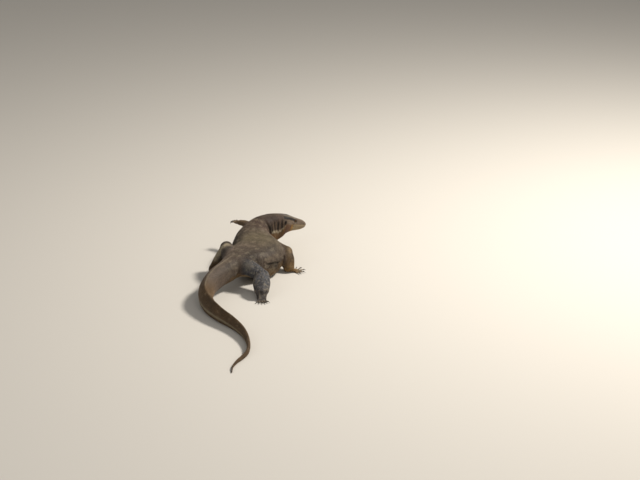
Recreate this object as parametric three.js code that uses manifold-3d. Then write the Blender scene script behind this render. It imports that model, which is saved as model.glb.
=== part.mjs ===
// A life-size Asian water monitor (Varanus salvator) in mid-stride, as a still museum model.
//
// Millimetres, +Z up. The animal walks towards +Y and turns its head to its right, +X.
// The pose below is measured from the spot on the floor under the hips. At the end the whole
// group is moved so that the origin is the middle of its bounding box, at floor level.
//
// Head, neck, trunk and tail are lengths of one loft along the spine. Legs are lofts along
// their bones, cut by what they grow from, so that every neighbour keeps a thin gap.

import * as THREE from "three";
import { mergeVertices } from "three/addons/utils/BufferGeometryUtils.js";
import Module from "manifold-3d";

const wasm = await Module();
wasm.setup();

// ---------------------------------------------------------------- driving dimensions

const gap = 0.35; // between neighbouring solids
const eyeRadius = 6;
const headLength = 106; // snout tip to the ear openings
const headTurn = THREE.MathUtils.degToRad(25); // snout's heading, from +X towards +Y
const headDip = THREE.MathUtils.degToRad(15); // how far the snout points down
const earPlace = new THREE.Vector3(189, 409, 126); // on the spine, between the ears
const neckLead = 14; // the neck starts this far ahead of the nape
const trunkLag = 14; // the trunk starts this far behind the base of the neck
const tailLag = 6; // the tail starts this far behind the vent
const floorBlock = { side: 3000, depth: 60 }; // trims the soles and the tail flat

// The spine behind the head, joint by joint: x, y, z of the middle of the body.
const spinePose = {
  nape: [160, 398, 126],
  neck: [128, 382, 124],
  neckBase: [90, 345, 113],
  shoulders: [70, 284, 101],
  chest: [75, 222, 90],
  midTrunk: [88, 156, 84],
  belly: [66, 86, 84],
  hips: [10, 2, 89],
  vent: [-31, -62, 84],
  tail1: [-69, -126, 74],
  tail2: [-93, -193, 60],
  tail3: [-96, -262, 47],
  tail4: [-72, -336, 38],
  tail5: [-30, -408, 33],
  tail6: [24, -482, 26],
  tail7: [63, -559, 21],
  tail8: [82, -640, 16],
  tail9: [82, -712, 12],
  tail10: [66, -758, 10],
  tail11: [47, -795, 8],
  tail12: [34, -838, 6],
  tailTip: [33, -880, 4],
};

// Sizes of the cross-section: half width, height above the spine, depth below it.
// Then the shape: roof and floor are 1 for an ellipse and less for square shoulders,
// and keel is the share of the width that is lost at the top of a ridged tail.
const sizes = {
  nape: { wide: 36, up: 36, down: 79, roof: 0.9, floor: 0.78, keel: 0 },
  neck: { wide: 43, up: 41, down: 86, roof: 1, floor: 0.75, keel: 0 },
  neckBase: { wide: 51, up: 51, down: 79, roof: 1, floor: 0.75, keel: 0 },
  shoulders: { wide: 70, up: 54, down: 70, roof: 1, floor: 0.8, keel: 0.05 },
  chest: { wide: 92, up: 57, down: 79, roof: 1, floor: 0.6, keel: 0.05 },
  midTrunk: { wide: 106, up: 59, down: 79, roof: 1, floor: 0.42, keel: 0.05 },
  belly: { wide: 98, up: 56, down: 79, roof: 1, floor: 0.45, keel: 0.05 },
  hips: { wide: 55, up: 44, down: 57, roof: 1, floor: 0.9, keel: 0.1 },
  vent: { wide: 42, up: 38, down: 56, roof: 1, floor: 0.95, keel: 0.25 },
  tail1: { wide: 37, up: 39, down: 51, roof: 1, floor: 0.9, keel: 0.45 },
  tail2: { wide: 31.5, up: 41, down: 47, roof: 1, floor: 0.85, keel: 0.55 },
  tail3: { wide: 27, up: 40, down: 43, roof: 1, floor: 0.8, keel: 0.6 },
  tail4: { wide: 22, up: 37, down: 38.5, roof: 1, floor: 0.8, keel: 0.6 },
  tail5: { wide: 17, up: 31, down: 33.5, roof: 1, floor: 0.85, keel: 0.55 },
  tail6: { wide: 13.5, up: 26, down: 26.5, roof: 1, floor: 0.9, keel: 0.5 },
  tail7: { wide: 10.5, up: 21, down: 21.4, roof: 1, floor: 0.9, keel: 0.5 },
  tail8: { wide: 8, up: 16, down: 16.4, roof: 1, floor: 0.9, keel: 0.5 },
  tail9: { wide: 6.4, up: 12, down: 12.4, roof: 1, floor: 0.9, keel: 0.45 },
  tail10: { wide: 5.4, up: 9.5, down: 10.4, roof: 1, floor: 0.9, keel: 0.4 },
  tail11: { wide: 4.5, up: 7.5, down: 8.4, roof: 1, floor: 0.9, keel: 0.3 },
  tail12: { wide: 3.5, up: 5.4, down: 6.3, roof: 1, floor: 0.9, keel: 0.2 },
  tailTip: { wide: 2, up: 2.6, down: 4.2, roof: 1, floor: 0.9, keel: 0 },
};

// The head's own sections: how far ahead of the ears, how far the middle sits above
// the axis, then the sizes as above.
const headSections = [
  { ahead: headLength, lift: -6, wide: 4.6, up: 4, down: 6, roof: 0.9, floor: 0.9, keel: 0 },
  { ahead: 103.5, lift: -5, wide: 9.8, up: 8.4, down: 12.4, roof: 0.85, floor: 0.85, keel: 0 },
  { ahead: 97, lift: -3, wide: 13.6, up: 13.4, down: 19, roof: 0.8, floor: 0.85, keel: 0 },
  { ahead: 86, lift: -1, wide: 16.2, up: 16.8, down: 25.4, roof: 0.75, floor: 0.9, keel: 0.05 },
  { ahead: 67, lift: 0, wide: 19.6, up: 19.6, down: 31.5, roof: 0.7, floor: 0.9, keel: 0.1 },
  { ahead: 46, lift: 0, wide: 25, up: 23.6, down: 37, roof: 0.7, floor: 0.9, keel: 0.08 },
  { ahead: 27, lift: 0, wide: 30, up: 27.5, down: 46, roof: 0.72, floor: 0.85, keel: 0.05 },
  { ahead: 8, lift: 0, wide: 33, up: 31, down: 61, roof: 0.78, floor: 0.8, keel: 0.02 },
];

// Pairs on the head: how far ahead of the ears, out to the side and up from the axis.
const eye = { place: [45.5, 20, 12.4], radii: Array(3).fill(eyeRadius), facets: 8 };
const socket = { ...eye, radii: Array(3).fill(eyeRadius + gap) };
const brow = { place: [44, 18.4, 20], radii: [13.5, 6, 3.8], facets: 8 };
const earHole = { place: [-3, 33.6, 2], radii: [3.2, 3.6, 6], facets: 6 };
const nostril = { place: [90, 14.6, 4.6], radii: [2.9, 1.8, 1.9], facets: 6 };

// The lip line from the corner of the mouth to past the snout: how far ahead, how high.
const lipLine = [[12, -9], [28, -9], [48, -8], [74, -7.5], [headLength + 10, -7]];
const jaw = { back: 2, cheek: -20, depth: 75, width: 90 };

// ---------------------------------------------------------------- smooth curves and lofts

const point = (x, y, z) => new THREE.Vector3(x, y, z);
const upwards = point(0, 0, 1);

// A smooth curve through rows of numbers, each row standing at its own place.
function smoothRows(rows, places) {
  const last = rows.length - 1;
  const slope = (row, column) => {
    const before = Math.max(row - 1, 0);
    const after = Math.min(row + 1, last);
    return (rows[after][column] - rows[before][column]) / (places[after] - places[before]);
  };
  return (place) => {
    let row = 0;
    while (row < last - 1 && places[row + 1] < place) row += 1;
    const span = places[row + 1] - places[row];
    const t = (place - places[row]) / span;
    return rows[row].map((value, column) => {
      const change = rows[row + 1][column] - value;
      const start = slope(row, column) * span;
      const end = slope(row + 1, column) * span;
      return value + t * (start + t * (3 * change - 2 * start - end + t * (start + end - 2 * change)));
    });
  };
}

// Distance of each centre from the first one, along straight steps.
function distances(centres) {
  const list = [0];
  centres.slice(1).forEach((centre, i) => list.push(list[i] + centre.distanceTo(centres[i])));
  return list;
}

// One point of a cross-section, at an angle measured from the animal's right over its back.
function sectionPoint(section, angle, swell) {
  const high = Math.sin(angle);
  const power = high > 0 ? section.roof : section.floor;
  const squared = (value) => Math.sign(value) * Math.abs(value) ** power;
  const ridge = 1 - section.keel * Math.max(0, high) ** 2;
  const across = (section.wide + swell) * squared(Math.cos(angle)) * ridge;
  const height = ((high > 0 ? section.up : section.down) + swell) * squared(high);
  return section.centre
    .clone()
    .addScaledVector(section.right, across)
    .addScaledVector(section.top, height);
}

const roundShape = { roof: 1, floor: 1, keel: 0 };
const ringAngles = (sides) => Array.from({ length: sides }, (_, side) => (2 * Math.PI * side) / sides);

// Rings of points joined into one closed body, each end closed by a fan to its middle.
function loft(rings) {
  const sides = rings[0].length;
  const positions = rings.flat().flatMap((p) => [p.x, p.y, p.z]);
  const faces = [];
  for (let ring = 0; ring < rings.length - 1; ring += 1) {
    for (let side = 0; side < sides; side += 1) {
      const here = ring * sides + side;
      const next = ring * sides + ((side + 1) % sides);
      faces.push(here, next, next + sides, here, next + sides, here + sides);
    }
  }
  const close = (ring, flip) => {
    const middle = positions.length / 3;
    const centre = rings[ring].reduce((sum, p) => sum.add(p), point(0, 0, 0)).divideScalar(sides);
    positions.push(centre.x, centre.y, centre.z);
    for (let side = 0; side < sides; side += 1) {
      const here = ring * sides + side;
      const next = ring * sides + ((side + 1) % sides);
      faces.push(...(flip ? [middle, here, next] : [middle, next, here]));
    }
  };
  close(0, false);
  close(rings.length - 1, true);
  const geometry = new THREE.BufferGeometry();
  geometry.setAttribute("position", new THREE.Float32BufferAttribute(positions, 3));
  geometry.setIndex(faces);
  return geometry;
}

// ---------------------------------------------------------------- solids and booleans

function solid(geometry, matrix = new THREE.Matrix4()) {
  const bare = geometry.clone().applyMatrix4(matrix);
  bare.deleteAttribute("normal");
  bare.deleteAttribute("uv");
  const merged = mergeVertices(bare, 1e-4);
  return new wasm.Manifold(
    new wasm.Mesh({
      numProp: 3,
      vertProperties: new Float32Array(merged.attributes.position.array),
      triVerts: new Uint32Array(merged.index.array),
    }),
  );
}

const join = (solids) => solids.reduce((whole, piece) => whole.add(piece));
const cut = (body, cutters) => cutters.reduce((rest, cutter) => rest.subtract(cutter), body);

// A cut can leave slivers behind, and only the largest body is kept.
function largest(body) {
  return body.decompose().reduce((best, piece) => (piece.volume() > best.volume() ? piece : best));
}

function ellipsoid(centre, radii, segments = 12, matrix = new THREE.Matrix4()) {
  const ball = new THREE.SphereGeometry(1, segments, Math.round(segments * 0.7));
  ball.scale(radii[0], radii[1], radii[2]);
  ball.translate(centre[0], centre[1], centre[2]);
  return solid(ball, matrix);
}

const underFloor = (() => {
  const block = new THREE.BoxGeometry(floorBlock.side, floorBlock.side, floorBlock.depth);
  block.translate(0, 0, -floorBlock.depth / 2);
  return solid(block);
})();
const standOnFloor = (body) => body.subtract(underFloor);

// ---------------------------------------------------------------- materials

const finish = (color, roughness) =>
  new THREE.MeshStandardMaterial({ color, roughness, metalness: 0 });
const materials = {
  back: finish("#574d42", 0.8),
  neck: finish("#5a4a3a", 0.8),
  head: finish("#6a5a45", 0.7),
  tail: finish("#453a2f", 0.8),
  limb: finish("#4d5154", 0.75),
  eye: finish("#1c140c", 0.15),
  claw: finish("#241f1b", 0.4),
};

const monitor = new THREE.Group();

function addPart(name, body, material) {
  const data = body.getMesh();
  const geometry = new THREE.BufferGeometry();
  geometry.setAttribute("position", new THREE.BufferAttribute(data.vertProperties, 3));
  geometry.setIndex(new THREE.BufferAttribute(data.triVerts, 1));
  geometry.computeVertexNormals();
  const mesh = new THREE.Mesh(geometry, material);
  mesh.name = name;
  monitor.add(mesh);
}

// ---------------------------------------------------------------- head, neck, trunk, tail

// The head's own frame: x ahead, y to its left, z up, with the origin between the ears.
const headFrame = new THREE.Matrix4()
  .makeTranslation(earPlace.x, earPlace.y, earPlace.z)
  .multiply(new THREE.Matrix4().makeRotationZ(headTurn))
  .multiply(new THREE.Matrix4().makeRotationY(headDip));
const onHead = (ahead, left, lift) => point(ahead, left, lift).applyMatrix4(headFrame);

const spine = [
  ...headSections.map((row) => ({ ...row, centre: onHead(row.ahead, 0, row.lift) })),
  ...Object.keys(spinePose).map((name) => ({ ...sizes[name], centre: point(...spinePose[name]) })),
];
const measures = ["wide", "up", "down", "roof", "floor", "keel"];
const spinePlaces = distances(spine.map((row) => row.centre));
const spineAt = smoothRows(
  spine.map((row) => [...row.centre.toArray(), ...measures.map((name) => row[name])]),
  spinePlaces,
);
const placeOf = (name) => spinePlaces[headSections.length + Object.keys(spinePose).indexOf(name)];
const tailEnd = placeOf("tailTip");

// The body's cross-section at a distance from the snout tip.
function bodySection(place) {
  const values = spineAt(place);
  const step = 1;
  const ahead = point(...spineAt(Math.max(place - step, 0)));
  const behind = point(...spineAt(Math.min(place + step, tailEnd)));
  const forward = ahead.sub(behind).normalize();
  const right = forward.clone().cross(upwards).normalize();
  const top = right.clone().cross(forward).normalize();
  const section = { centre: point(...values), right, top };
  measures.forEach((name, i) => (section[name] = values[3 + i]));
  return section;
}

// A length of the body between two places. Swollen, it is the space its neighbours keep off.
function bodyLength({ from, to, steps, sides }, swell = 0) {
  const places = Array.from({ length: steps + 1 }, (_, step) => from + ((to - from) * step) / steps);
  if (swell > 0) places.unshift(from - swell);
  if (swell > 0) places.push(to + swell);
  const rings = places.map((place) => {
    const section = bodySection(place);
    return ringAngles(sides).map((angle) => sectionPoint(section, angle, swell));
  });
  return solid(loft(rings));
}

const neckStart = placeOf("nape") - neckLead;
const trunkStart = placeOf("neckBase") + trunkLag;
const tailStart = placeOf("vent") + tailLag;
const lengths = {
  head: { from: 0, to: neckStart - gap, steps: 16, sides: 18 },
  neck: { from: neckStart, to: trunkStart - gap, steps: 9, sides: 20 },
  trunk: { from: trunkStart, to: tailStart - gap, steps: 20, sides: 24 },
};
const tailSides = [16, 16, 12, 12, 8];
const tailCuts = [tailStart, ...["tail3", "tail5", "tail7", "tail9"].map(placeOf), tailEnd];
tailCuts.slice(1).forEach((end, i) => {
  lengths[`tail_${i + 1}`] = { from: tailCuts[i], to: end - gap, steps: 8, sides: tailSides[i] };
});

// The same ellipsoid on each side of the head, the right one first.
const pairOf = ({ place: [ahead, out, lift], radii, facets }) =>
  [-1, 1].map((side) => ellipsoid([ahead, side * out, lift], radii, facets, headFrame));

// What lies under the lip line, from the chin back to the corner of the jaw.
function jawSpace(spare) {
  const lip = new THREE.SplineCurve(lipLine.map(([ahead, lift]) => new THREE.Vector2(ahead, lift + spare)));
  const outline = new THREE.Shape([
    ...lip.getPoints(10),
    new THREE.Vector2(headLength + 10, -jaw.depth),
    new THREE.Vector2(jaw.back - spare, -jaw.depth),
    new THREE.Vector2(jaw.back - spare, jaw.cheek),
  ]);
  const block = new THREE.ExtrudeGeometry(outline, { depth: jaw.width, bevelEnabled: false });
  block.translate(0, 0, -jaw.width / 2);
  return solid(block, headFrame.clone().multiply(new THREE.Matrix4().makeRotationX(Math.PI / 2)));
}

function makeHead() {
  const whole = join([bodyLength(lengths.head), ...pairOf(brow)]);
  const skull = cut(whole, [...pairOf(socket), ...pairOf(earHole), ...pairOf(nostril)]);
  addPart("head", largest(skull.subtract(jawSpace(gap))), materials.head);
  addPart("lower_jaw", largest(whole.intersect(jawSpace(0))), materials.head);
}

function makeEyes() {
  const [right, left] = pairOf(eye);
  addPart("eye_right", right, materials.eye);
  addPart("eye_left", left, materials.eye);
}

function makeBody() {
  addPart("neck", bodyLength(lengths.neck), materials.neck);
  addPart("trunk", bodyLength(lengths.trunk), materials.back);
  for (const name of Object.keys(lengths).filter((name) => name.startsWith("tail_"))) {
    addPart(name, standOnFloor(bodyLength(lengths[name])), materials.tail);
  }
}

// ---------------------------------------------------------------- legs

// A limb segment along a smooth line through its points, with round ends. Thickness
// lists pairs of half width and half depth, and "flat" is the direction of the depth.
// roundEnd lists the angles of the rings that close an end.
function segment(points, thickness, flat, detail = {}) {
  const { sides = 10, steps = 5, swell = 0, roundEnd = [0.3, 0.8] } = detail;
  const centres = points.map((p) => point(...p));
  const places = distances(centres);
  const end = places[places.length - 1];
  const lineAt = smoothRows(points, places);
  const thickAt = smoothRows(thickness, thickness.map((_, i) => (i * end) / (thickness.length - 1)));
  const ends = [...roundEnd].reverse();
  const stations = [
    ...roundEnd.map((angle) => [0, -Math.cos(angle), Math.sin(angle)]),
    ...Array.from({ length: steps + 1 }, (_, step) => [(end * step) / steps, 0, 1]),
    ...ends.map((angle) => [end, Math.cos(angle), Math.sin(angle)]),
  ];
  const rings = stations.map(([place, beyond, size]) => {
    const before = point(...lineAt(Math.max(place - 0.5, 0)));
    const along = point(...lineAt(Math.min(place + 0.5, end))).sub(before).normalize();
    const right = point(...flat).cross(along).normalize();
    const top = along.clone().cross(right).normalize();
    const [wide, deep] = thickAt(place);
    const section = { wide: wide * size, up: deep * size, down: deep * size, ...roundShape };
    section.centre = point(...lineAt(place)).addScaledVector(along, beyond * (deep + swell));
    Object.assign(section, { right, top });
    return ringAngles(sides).map((angle) => sectionPoint(section, angle, swell * size));
  });
  return solid(loft(rings));
}

// A claw: a short hook from the tip of a toe. It sets off at the angle "droop" below the
// toe's heading and curls further down over its length.
function claw(root, heading, droop) {
  const { length, thick, wide, under, curl, taper, power, sides, steps } = clawShape;
  const right = upwards.clone().cross(heading).normalize();
  const rings = Array.from({ length: steps + 1 }, (_, step) => {
    const t = step / steps;
    const bend = droop + curl * t;
    const along = heading.clone().multiplyScalar(Math.cos(bend));
    along.addScaledVector(upwards, -Math.sin(bend));
    const size = thick * (1 - taper * t ** power);
    const section = { wide: size * wide, up: size, down: size * under, ...roundShape };
    section.centre = root.clone().addScaledVector(along, length * t);
    Object.assign(section, { right, top: along.clone().cross(right).normalize() });
    return ringAngles(sides).map((angle) => sectionPoint(section, angle, 0));
  });
  return solid(loft(rings));
}

// A claw's length and the half height of its root. "wide" and "under" are shares of that
// height, and the claw narrows by "taper" over its length.
const clawShape = {
  length: 11,
  thick: 2.5,
  wide: 0.75,
  under: 0.8,
  curl: 0.9,
  taper: 0.86,
  power: 1.3,
  sides: 5,
  steps: 3,
};
const toeTaper = [1, 0.92, 0.72]; // thickness at the root, the middle and the tip
const knuckles = [0, 1 / 3, 2 / 3, 1]; // where a toe's line has its points
const toeDetail = { sides: 5, steps: 3, roundEnd: [0.7] };
const palmDetail = { sides: 10, steps: 2, roundEnd: [0.7] };

// A hand or foot: a flat palm with five toes, spread in a fan from its front edge.
// Each toe has its length, its angle off the palm's heading and its root's place along
// that edge. It runs from the palm to tipHeight, sinking by "dip" on the way.
function foot({ name, wrist, palm, palmSize, heading, toes, toeThick, dip, tipHeight, clawDroop }) {
  const turn = THREE.MathUtils.degToRad(heading);
  const edge = point(-Math.sin(turn), Math.cos(turn), 0);
  const toeSize = toeTaper.map((share) => [toeThick * share, toeThick * share]);
  const solids = [segment([wrist, palm], palmSize, [0, 0, 1], palmDetail)];
  const claws = [];
  toes.forEach(([length, spread, root], i) => {
    const angle = turn + THREE.MathUtils.degToRad(spread);
    const out = point(Math.cos(angle), Math.sin(angle), 0);
    const start = point(...palm).addScaledVector(edge, root);
    const line = knuckles.map((t) => {
      const p = start.clone().addScaledVector(out, length * t);
      p.z = THREE.MathUtils.lerp(palm[2], tipHeight, t) - dip * Math.sin(Math.PI * t);
      return p.toArray();
    });
    solids.push(segment(line, toeSize, [0, 0, 1], toeDetail));
    const tip = point(...line[3]).addScaledVector(out, toeThick * toeTaper[2] + gap);
    claws.push([`claw_${name}_${i + 1}`, claw(tip, out, clawDroop)]);
  });
  return { body: join(solids), claws };
}

const fore = { toeThick: 4.3, palmSize: [[12, 11], [14, 7.5], [15, 6]] };
const hind = { toeThick: 4.8, palmSize: [[15, 13], [15, 9], [16, 6.5]] };
const planted = { dip: 2.3, tipHeight: 5.4, clawDroop: -0.55 };
const hanging = { dip: -1, tipHeight: 121, clawDroop: -0.1 };

const legs = [
  {
    ...fore,
    ...planted,
    name: "right_fore",
    parts: ["right_upper_arm", "right_forearm", "right_hand"],
    upper: [[108, 256, 82], [160, 228, 78], [209, 184, 72]],
    upperThick: [[24, 26], [22, 23], [21, 20]],
    lower: [[209, 182, 70], [213, 156, 45], [217, 135, 19]],
    lowerThick: [[22, 21], [27, 23], [23, 17]],
    flat: [0, 1, 0.2],
    wrist: [220, 134, 16],
    palm: [243, 141, 4.6],
    heading: 4,
    toes: [[18, 72, 11], [27, 42, 7], [30, 10, 1], [30, -22, -6], [24, -54, -11]],
  },
  {
    ...fore,
    ...hanging,
    name: "left_fore",
    parts: ["left_upper_arm", "left_forearm", "left_hand"],
    upper: [[56, 288, 94], [50, 332, 108], [46, 374, 117]],
    upperThick: [[24, 26], [21, 22], [18, 18]],
    lower: [[45, 375, 117], [28, 392, 121], [12, 405, 121]],
    lowerThick: [[17, 17], [17, 15], [13, 11]],
    flat: [0, 0.3, 1],
    wrist: [9, 407, 120],
    palm: [-5, 416, 119],
    heading: 146,
    toes: [[11, -30, -9], [14, -13, -5], [16, 0, 0], [16, 13, 5], [11, 30, 9]],
  },
  {
    ...hind,
    ...planted,
    name: "right_hind",
    parts: ["right_thigh", "right_shin", "right_foot"],
    upper: [[26, -12, 88], [70, -44, 82], [117, -82, 66]],
    upperThick: [[36, 34], [33, 31], [26, 25]],
    lower: [[117, -85, 64], [115, -122, 50], [116, -158, 33]],
    lowerThick: [[28, 26], [35, 27], [30, 20]],
    flat: [0, 0.3, 1],
    wrist: [116, -162, 28],
    palm: [117, -190, 5],
    palmSize: [[23, 16], [21, 10], [19, 6.5]],
    heading: -80,
    toes: [[15, -26, -14], [20, -12, -8], [23, -1, -1], [24, 10, 6], [17, 26, 13]],
  },
  {
    ...hind,
    ...planted,
    name: "left_hind",
    parts: ["left_thigh", "left_shin", "left_foot"],
    upper: [[-10, 22, 88], [-24, 82, 102], [-34, 138, 106]],
    upperThick: [[35, 33], [32, 30], [27, 26]],
    lower: [[-36, 136, 102], [-62, 121, 71], [-88, 98, 38]],
    lowerThick: [[23, 22], [20, 19], [14, 14]],
    flat: [0, 1, 0.3],
    wrist: [-92, 94, 32],
    palm: [-90, 118, 5],
    heading: 84,
    toes: [[18, -40, -13], [28, -18, -8], [36, -5, -1], [40, 5, 6], [24, 20, 12]],
  },
];

function makeLeg(leg, torso) {
  const [upperName, lowerName, footName] = leg.parts;
  const upper = (swell) => segment(leg.upper, leg.upperThick, leg.flat, { swell });
  const lower = (swell) => segment(leg.lower, leg.lowerThick, leg.flat, { swell });
  const paw = foot(leg);
  const trimmed = standOnFloor(cut(paw.body, [lower(gap), upper(gap)]));
  addPart(upperName, largest(cut(upper(0), torso)), materials.limb);
  addPart(lowerName, largest(cut(lower(0), [upper(gap), ...torso])), materials.limb);
  addPart(footName, largest(trimmed), materials.limb);
  for (const [name, body] of paw.claws) addPart(name, body, materials.claw);
}

makeHead();
makeEyes();
makeBody();
const torso = ["trunk", "neck", "tail_1"].map((name) => bodyLength(lengths[name], gap));
for (const leg of legs) makeLeg(leg, torso);

const box = new THREE.Box3().setFromObject(monitor);
const middle = box.getCenter(point(0, 0, 0));
monitor.position.set(-middle.x, -middle.y, -box.min.z);
monitor.updateMatrixWorld(true);

export default monitor;
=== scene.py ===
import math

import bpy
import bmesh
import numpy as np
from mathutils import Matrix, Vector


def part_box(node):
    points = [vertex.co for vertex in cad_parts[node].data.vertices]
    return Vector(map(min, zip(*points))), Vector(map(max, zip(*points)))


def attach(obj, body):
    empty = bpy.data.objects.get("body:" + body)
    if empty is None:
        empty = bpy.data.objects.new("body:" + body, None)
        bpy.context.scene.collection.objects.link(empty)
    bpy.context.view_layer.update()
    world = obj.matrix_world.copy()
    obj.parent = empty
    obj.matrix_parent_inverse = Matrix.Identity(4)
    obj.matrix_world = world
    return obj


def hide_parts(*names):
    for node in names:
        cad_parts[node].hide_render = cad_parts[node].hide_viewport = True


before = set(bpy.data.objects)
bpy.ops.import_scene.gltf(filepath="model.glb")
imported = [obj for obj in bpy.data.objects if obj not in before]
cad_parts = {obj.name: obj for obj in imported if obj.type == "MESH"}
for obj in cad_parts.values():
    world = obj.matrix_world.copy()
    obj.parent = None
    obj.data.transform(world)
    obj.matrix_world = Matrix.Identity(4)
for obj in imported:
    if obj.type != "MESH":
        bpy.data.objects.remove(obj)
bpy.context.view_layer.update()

# The looks of a life-size water monitor lizard. One smooth skin stands for the solids of
# head, neck, trunk, tail and legs. Scales of solid mesh lie over it, and the eyes and claws
# are pieces of their own.
#
# Lengths are in millimetres up to the point where a mesh is made. Places are given in the
# pose's own frame: from the floor under the hips, +Y where the animal walks, +Z up.

import openvdb
from mathutils import Matrix, Vector, kdtree
from mathutils.bvhtree import BVHTree

MM = 0.001
TAU = 2 * math.pi

# ------------------------------------------------------------------ driving dimensions

COAT = 0.9  # how far the skin lies inside the solids
VOXEL = 2.9  # grid step of the field that the skin is drawn from
BAND = 9  # half width of the field, in steps
EYE_RADIUS = 6
HEAD_LENGTH = 106
HEAD_TURN = math.radians(25)
HEAD_DIP = math.radians(15)
EAR_PLACE = (189, 409, 126)
EYE_CENTRE = (45.5, 20, 12.4)  # in the head's frame, for the left eye

# The spine behind the head: middle of the body, half width, height above and depth below,
# then roof, floor and keel as the solids have them.
SPINE = {
    "nape": (160, 398, 126, 36, 36, 79, 0.9, 0.78, 0),
    "neck": (128, 382, 124, 43, 41, 86, 1, 0.75, 0),
    "neckBase": (90, 345, 113, 51, 51, 79, 1, 0.75, 0),
    "shoulders": (70, 284, 101, 70, 54, 70, 1, 0.8, 0.05),
    "chest": (75, 222, 90, 92, 57, 79, 1, 0.6, 0.05),
    "midTrunk": (88, 156, 84, 106, 59, 79, 1, 0.42, 0.05),
    "belly": (66, 86, 84, 98, 56, 79, 1, 0.45, 0.05),
    "hips": (10, 2, 89, 55, 44, 57, 1, 0.9, 0.1),
    "vent": (-31, -62, 84, 42, 38, 56, 1, 0.95, 0.25),
    "tail1": (-69, -126, 74, 37, 39, 51, 1, 0.9, 0.45),
    "tail2": (-93, -193, 60, 31.5, 41, 47, 1, 0.85, 0.55),
    "tail3": (-96, -262, 47, 27, 40, 43, 1, 0.8, 0.6),
    "tail4": (-72, -336, 38, 22, 37, 38.5, 1, 0.8, 0.6),
    "tail5": (-30, -408, 33, 17, 31, 33.5, 1, 0.85, 0.55),
    "tail6": (24, -482, 26, 13.5, 26, 26.5, 1, 0.9, 0.5),
    "tail7": (63, -559, 21, 10.5, 21, 21.4, 1, 0.9, 0.5),
    "tail8": (82, -640, 16, 8, 16, 16.4, 1, 0.9, 0.5),
    "tail9": (82, -712, 12, 6.4, 12, 12.4, 1, 0.9, 0.45),
    "tail10": (66, -758, 10, 5.4, 9.5, 10.4, 1, 0.9, 0.4),
    "tail11": (47, -795, 8, 4.5, 7.5, 8.4, 1, 0.9, 0.3),
    "tail12": (34, -838, 6, 3.5, 5.4, 6.3, 1, 0.9, 0.2),
    "tailTip": (33, -880, 4, 2, 2.6, 4.2, 1, 0.9, 0),
}

# The head's sections: distance ahead of the ears, lift of the middle, then sizes as above.
HEAD = (
    (HEAD_LENGTH, -6, 4.6, 4, 6, 0.9, 0.9, 0),
    (103.5, -5, 9.8, 8.4, 12.4, 0.85, 0.85, 0),
    (97, -3, 13.6, 13.4, 19, 0.8, 0.85, 0),
    (86, -1, 16.2, 16.8, 25.4, 0.75, 0.9, 0.05),
    (67, 0, 19.6, 19.6, 31.5, 0.7, 0.9, 0.1),
    (46, 0, 25, 23.6, 37, 0.7, 0.9, 0.08),
    (27, 0, 30, 27.5, 46, 0.72, 0.85, 0.05),
    (8, 0, 33, 31, 61, 0.78, 0.8, 0.02),
)

FORE = {"toe_thick": 4.3, "palm_size": ((12, 11), (14, 7.5), (15, 6))}
HIND = {"toe_thick": 4.8, "palm_size": ((15, 13), (15, 9), (16, 6.5))}
PLANTED = {"dip": 2.3, "tip_height": 5.4, "claw_droop": -0.55}
HANGING = {"dip": -1, "tip_height": 121, "claw_droop": -0.1}

# Each leg blends into the body over a fillet. Each toe has its length, its angle off the
# palm's heading, and its root's place along the palm's front edge.
LEGS = {
    "right_fore": {
        **FORE,
        **PLANTED,
        "blend": 14,
        "upper": ((108, 256, 82), (160, 228, 78), (209, 184, 72)),
        "upper_thick": ((24, 26), (22, 23), (21, 20)),
        "lower": ((209, 182, 70), (213, 156, 45), (217, 135, 19)),
        "lower_thick": ((22, 21), (27, 23), (23, 17)),
        "flat": (0, 1, 0.2),
        "wrist": (220, 134, 16),
        "palm": (243, 141, 4.6),
        "heading": 4,
        "toes": ((18, 72, 11), (27, 42, 7), (30, 10, 1), (30, -22, -6), (24, -54, -11)),
    },
    "left_fore": {
        **FORE,
        **HANGING,
        "blend": 12,
        "upper": ((56, 288, 94), (50, 332, 108), (46, 374, 117)),
        "upper_thick": ((24, 26), (21, 22), (18, 18)),
        "lower": ((45, 375, 117), (28, 392, 121), (12, 405, 121)),
        "lower_thick": ((17, 17), (17, 15), (13, 11)),
        "flat": (0, 0.3, 1),
        "wrist": (9, 407, 120),
        "palm": (-5, 416, 119),
        "heading": 146,
        "toes": ((11, -30, -9), (14, -13, -5), (16, 0, 0), (16, 13, 5), (11, 30, 9)),
    },
    "right_hind": {
        **HIND,
        **PLANTED,
        "blend": 16,
        "upper": ((26, -12, 88), (70, -44, 82), (117, -82, 66)),
        "upper_thick": ((36, 34), (33, 31), (26, 25)),
        "lower": ((117, -85, 64), (115, -122, 50), (116, -158, 33)),
        "lower_thick": ((28, 26), (35, 27), (30, 20)),
        "flat": (0, 0.3, 1),
        "wrist": (116, -162, 28),
        "palm": (117, -190, 5),
        "palm_size": ((23, 16), (21, 10), (19, 6.5)),
        "heading": -80,
        "toes": ((15, -26, -14), (20, -12, -8), (23, -1, -1), (24, 10, 6), (17, 26, 13)),
    },
    "left_hind": {
        **HIND,
        **PLANTED,
        "blend": 8,
        "upper": ((-10, 22, 88), (-24, 82, 102), (-34, 138, 106)),
        "upper_thick": ((35, 33), (32, 30), (27, 26)),
        "lower": ((-36, 136, 102), (-62, 121, 71), (-88, 98, 38)),
        "lower_thick": ((23, 22), (20, 19), (14, 14)),
        "flat": (0, 1, 0.3),
        "wrist": (-92, 94, 32),
        "palm": (-90, 118, 5),
        "heading": 84,
        "toes": ((18, -40, -13), (28, -18, -8), (36, -5, -1), (40, 5, 6), (24, 20, 12)),
    },
}

# ------------------------------------------------------------------ frames and curves

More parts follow.
